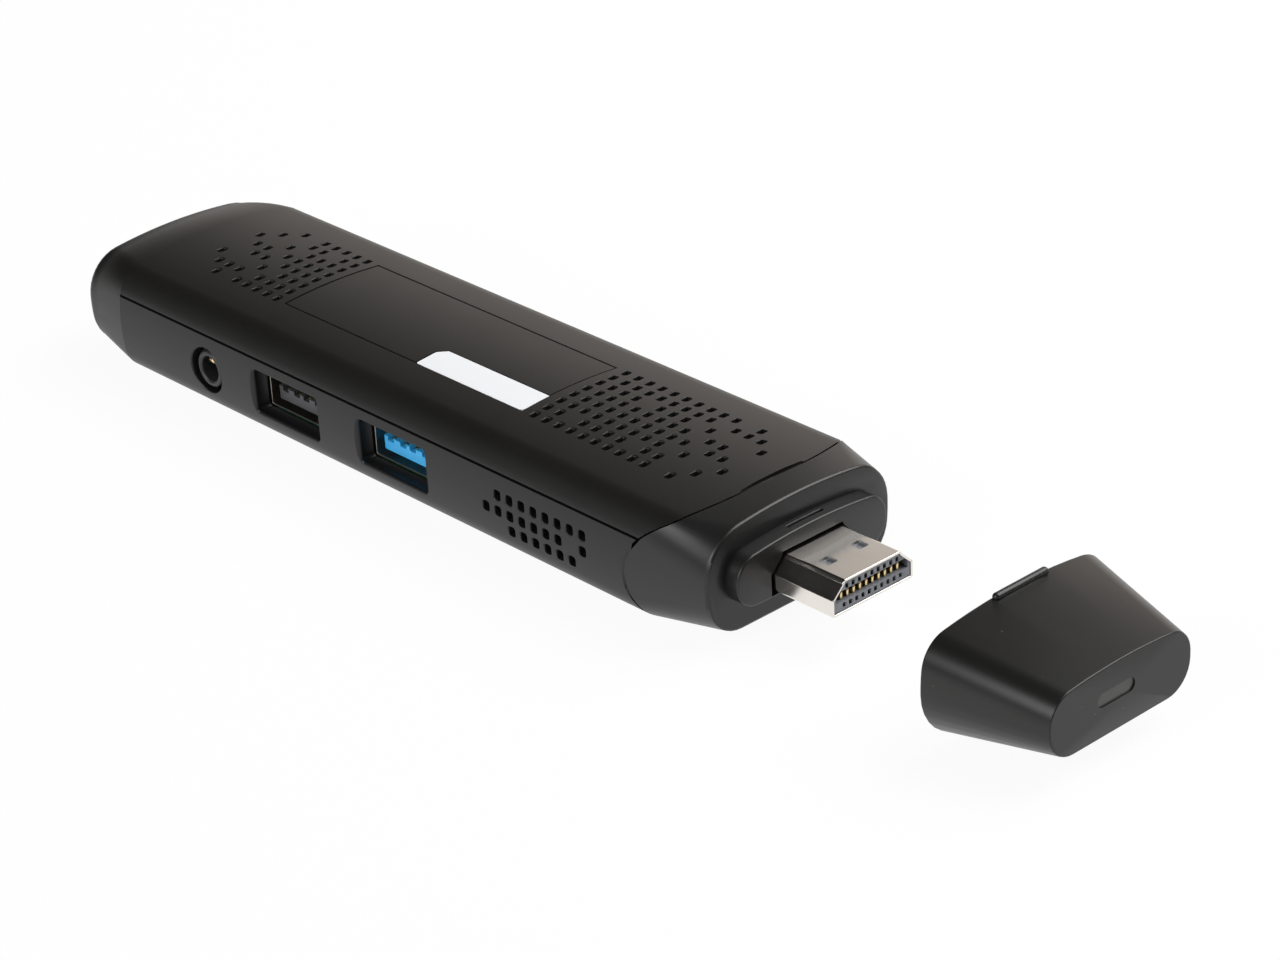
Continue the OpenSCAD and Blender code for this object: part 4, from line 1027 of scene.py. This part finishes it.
for x, name in ((USB3_X, "usb3"), (USB2_X, "usb2")):
    outline = rectangle(USB_W, USB_H, 0.5, 4, (x, USB_Z))
    shell = loft(name + "_socket", outline, rolled_lip(0.0, -USB_L, USB_SHEET), into_side(USB_FRONT, -1), closed=True)
    fitted(smoothed(shell, sharp=40), name + "_shell", finish=SOCKET_METAL)
    ends = 0.5, lambda spot, way, x=x: abs(way.z) > 0.9 and spot.y < USB_FRONT + 0.5 and abs(spot.x - x) > 4.6
    # The second socket's black tongue takes the lighter resin, which is painted light.
    fitted(softened(name + "_tongue", name + "_tongue_soft", 0.12, corners=ends), name + "_tongue",
           finish=FINISH["blue_insulator"] if name == "usb3" else SOCKET_RESIN_PAINTED_LIGHT)
    strip = blade("strip", rectangle(*STRIP_BAR, 3), 3.9)
    strips = [field("strips", strip, [(d, 0, 0) for d in STRIP_PLACES],
                    move=(x, USB_FRONT + STRIP_BACK, STRIP_Z + 0.15), finish=GOLD)]
    if name == "usb3":
        stub = blade("stub", rectangle(*STUB_BAR, 3), 0.25)
        strips.append(field("stubs", stub, [(d, 0, 0) for d in range(-2, 3)], along=2.0,
                            move=(x, USB_FRONT + STUB_BACK, STRIP_Z + 0.8), finish=GOLD))
    fitted(smoothed(merged(name + "_strips", strips), sharp=45), name + "_contacts")

# %% [markdown]
# ## Headphone socket, power inlet, button and light
# The headphone socket is a moulded barrel with a well rounded rim. A bowed gold leaf dips into the top of its bore.
# The inlet on the far side is a small folded shell, lofted like the USB boxes. The button and the light pipe are
# mouldings with soft edges.

# %% Headphone socket, power inlet, button and light
INLET_FRONT, INLET_L = 15.7, 5.4
inlet_corners = [(-2.9, 4.15), (2.9, 4.15), (3.8, 5.25), (3.8, 6.95), (-3.8, 6.95), (-3.8, 5.25)]
inlet_outline = filleted([(INLET_X + x, z) for x, z in inlet_corners], 0.35)
inlet = loft("inlet_socket", inlet_outline, rolled_lip(0.0, -INLET_L), into_side(INLET_FRONT, 1), closed=True)
fitted(smoothed(inlet, sharp=40), "inlet_shell")
for node, width in (("inlet_tongue", 0.1), ("power_button", 0.25), ("light_pipe", 0.08)):
    fitted(softened(node, node + "_soft", width, 3), node)

JACK_FRONT, JACK_R, JACK_BORE, RIM_R = -16.4, 2.7, 1.8, 0.4


def in_jack(a, b, down):
    return a, JACK_FRONT + down, b


quarter = [math.pi / 2 * k / 6 for k in range(7)]
rim = [(RIM_R * (math.cos(t) - 1), RIM_R * (1 - math.sin(t))) for t in quarter]
rim = [(0.3, RIM_R)] + rim + [(-RIM_R, -0.3), (0.3, -0.3)]
jack_bits = [loft("rim_bit", round_outline(JACK_X, JACK_Z, JACK_R), rim, in_jack, closed=True),
             loft("bore_bit", round_outline(JACK_X, JACK_Z, JACK_BORE), router(0.36, 2.0, 6), in_jack)]
jack = cut_away(welded("jack_body", "jack_barrel"), merged("jack_bits", jack_bits))
fitted(smoothed(jack, sharp=40), "jack_body")
LEAF = [(0.45, 1.25), (0.6, 0.78), (1.1, 0.78), (2.4, 1.95), (9.9, 1.95), (9.9, 2.4), (2.2, 2.4), (1.0, 1.2),
        (0.75, 1.2), (0.6, 1.5)]
leaf_outline = filleted([(JACK_FRONT + y, JACK_Z + z) for y, z in LEAF], 0.2, 4)
leaf = blade("jack_leaf", leaf_outline, 0.5, lambda a, b, station: (JACK_X + station, a, b))
fitted(smoothed(leaf, sharp=45), "jack_springs")

# %% [markdown]
# ## Floor and light
# The part lies on a seamless white table. The floor shows white to the camera and keeps a soft shadow. In reflections
# it is white near the part and fades further off, where the lamp no longer reaches.
# The light is a plain studio: a wide softbox above, a warm pale wall low at the back, and a small card low on the
# near side. Above the wall all is dark, so the satin top fades towards the near shoulder, which stays black.

# %% Floor
PART_HALF, FADE_FROM, FADE_TO, FADE_DEPTH, FLOOR_SHARE = 0.09, 0.02, 0.08, 0.85, 0.94
FLOOR_HALF, FLOOR_DROP = 6, 0.0002


def white_table():
    material, sheet = new_finish("white_table")
    cloud = sheet.noise(sheet.place(), 3.0, 2.0)
    base = sheet.blend(cloud, tint(0.90, 0.90, 0.90), tint(0.93, 0.93, 0.93))
    matt = sheet.node("ShaderNodeBsdfDiffuse", {}, {"Color": base})
    glow = sheet.node("ShaderNodeEmission", {}, {"Color": tint(1, 1, 1), "Strength": 1.0})
    seen = [sheet.node("ShaderNodeLightPath", out=name) for name in
            ("Is Camera Ray", "Is Glossy Ray", "Is Transmission Ray")]
    x, y = (sheet.node("ShaderNodeSeparateXYZ", {}, {0: sheet.place()}, out=k) for k in range(2))
    past_end = x.math("ABSOLUTE", x) - PART_HALF
    beyond = past_end.math("MAXIMUM", past_end, 0.0)
    squared = beyond * beyond + y * y
    away = sheet.ramp(squared.math("SQRT", squared), FADE_FROM, FADE_TO)
    mirrored = (seen[1] + seen[2]) * (1.0 - FADE_DEPTH * away)
    shown = seen[0] + mirrored
    share = shown.math("MINIMUM", shown, 1.0) * FLOOR_SHARE
    mixed = sheet.node("ShaderNodeMixShader", {}, {0: share, 1: matt, 2: glow})
    sheet.node("ShaderNodeOutputMaterial", {}, {"Surface": mixed})
    return material


table = bpy.data.meshes.new("table")
corners = [(x * FLOOR_HALF, y * FLOOR_HALF, 0) for x, y in ((-1, -1), (1, -1), (1, 1), (-1, 1))]
table.from_pydata(corners, [], [(0, 1, 2, 3)])
floor = linked("table", table)
floor.location.z = -FLOOR_DROP
floor.data.materials.append(white_table())
print("floor below the part by mm:", FLOOR_DROP / MM)

# %% Light
world = bpy.data.worlds.new("studio")
scene.world = world
world.use_nodes = True
air = Sheet(world.node_tree)
way = air.node("ShaderNodeTexCoord", out="Generated")


def patch(direction, inner, outer):
    """1 within inner degrees of a direction, 0 beyond outer degrees."""
    aim = Vector(direction).normalized()
    dot = air.node("ShaderNodeVectorMath", {"operation": "DOT_PRODUCT"}, {0: way, 1: aim}, out="Value")
    return air.node("ShaderNodeMapRange", {"interpolation_type": "SMOOTHSTEP"}, {
        "Value": dot, "From Min": math.cos(math.radians(outer)), "From Max": math.cos(math.radians(inner))})


height = air.node("ShaderNodeSeparateXYZ", {}, {0: way}, out=2)
skyline = 1.0 - air.ramp(height, 0.0, 0.12)
back_wall = patch((-0.57, 0.82, 0.05), 20, 34)
low_card = patch((-0.05, -0.88, 0.47), 11, 22)
level = 0.02 + 1.08 * back_wall + 6.0 * low_card + 0.06 * skyline
hue = air.blend(back_wall, tint(1, 1, 1), tint(1.0, 0.91, 0.83))
back = air.node("ShaderNodeBackground", {}, {"Color": hue, "Strength": level})
air.node("ShaderNodeOutputWorld", {}, {"Surface": back})


def softbox(name, place, aim, size, power):
    lamp = bpy.data.lights.new(name, "AREA")
    lamp.shape, lamp.size, lamp.size_y, lamp.energy = "RECTANGLE", size[0], size[1], power
    held = linked(name, lamp)
    held.location = place
    held.rotation_euler = (Vector(aim) - Vector(place)).to_track_quat("-Z", "Y").to_euler()
    return held


softbox("overhead", (0.28, 0.52, 0.74), (0, 0, 0), (0.8, 0.8), 10.8)
print("stage ready")
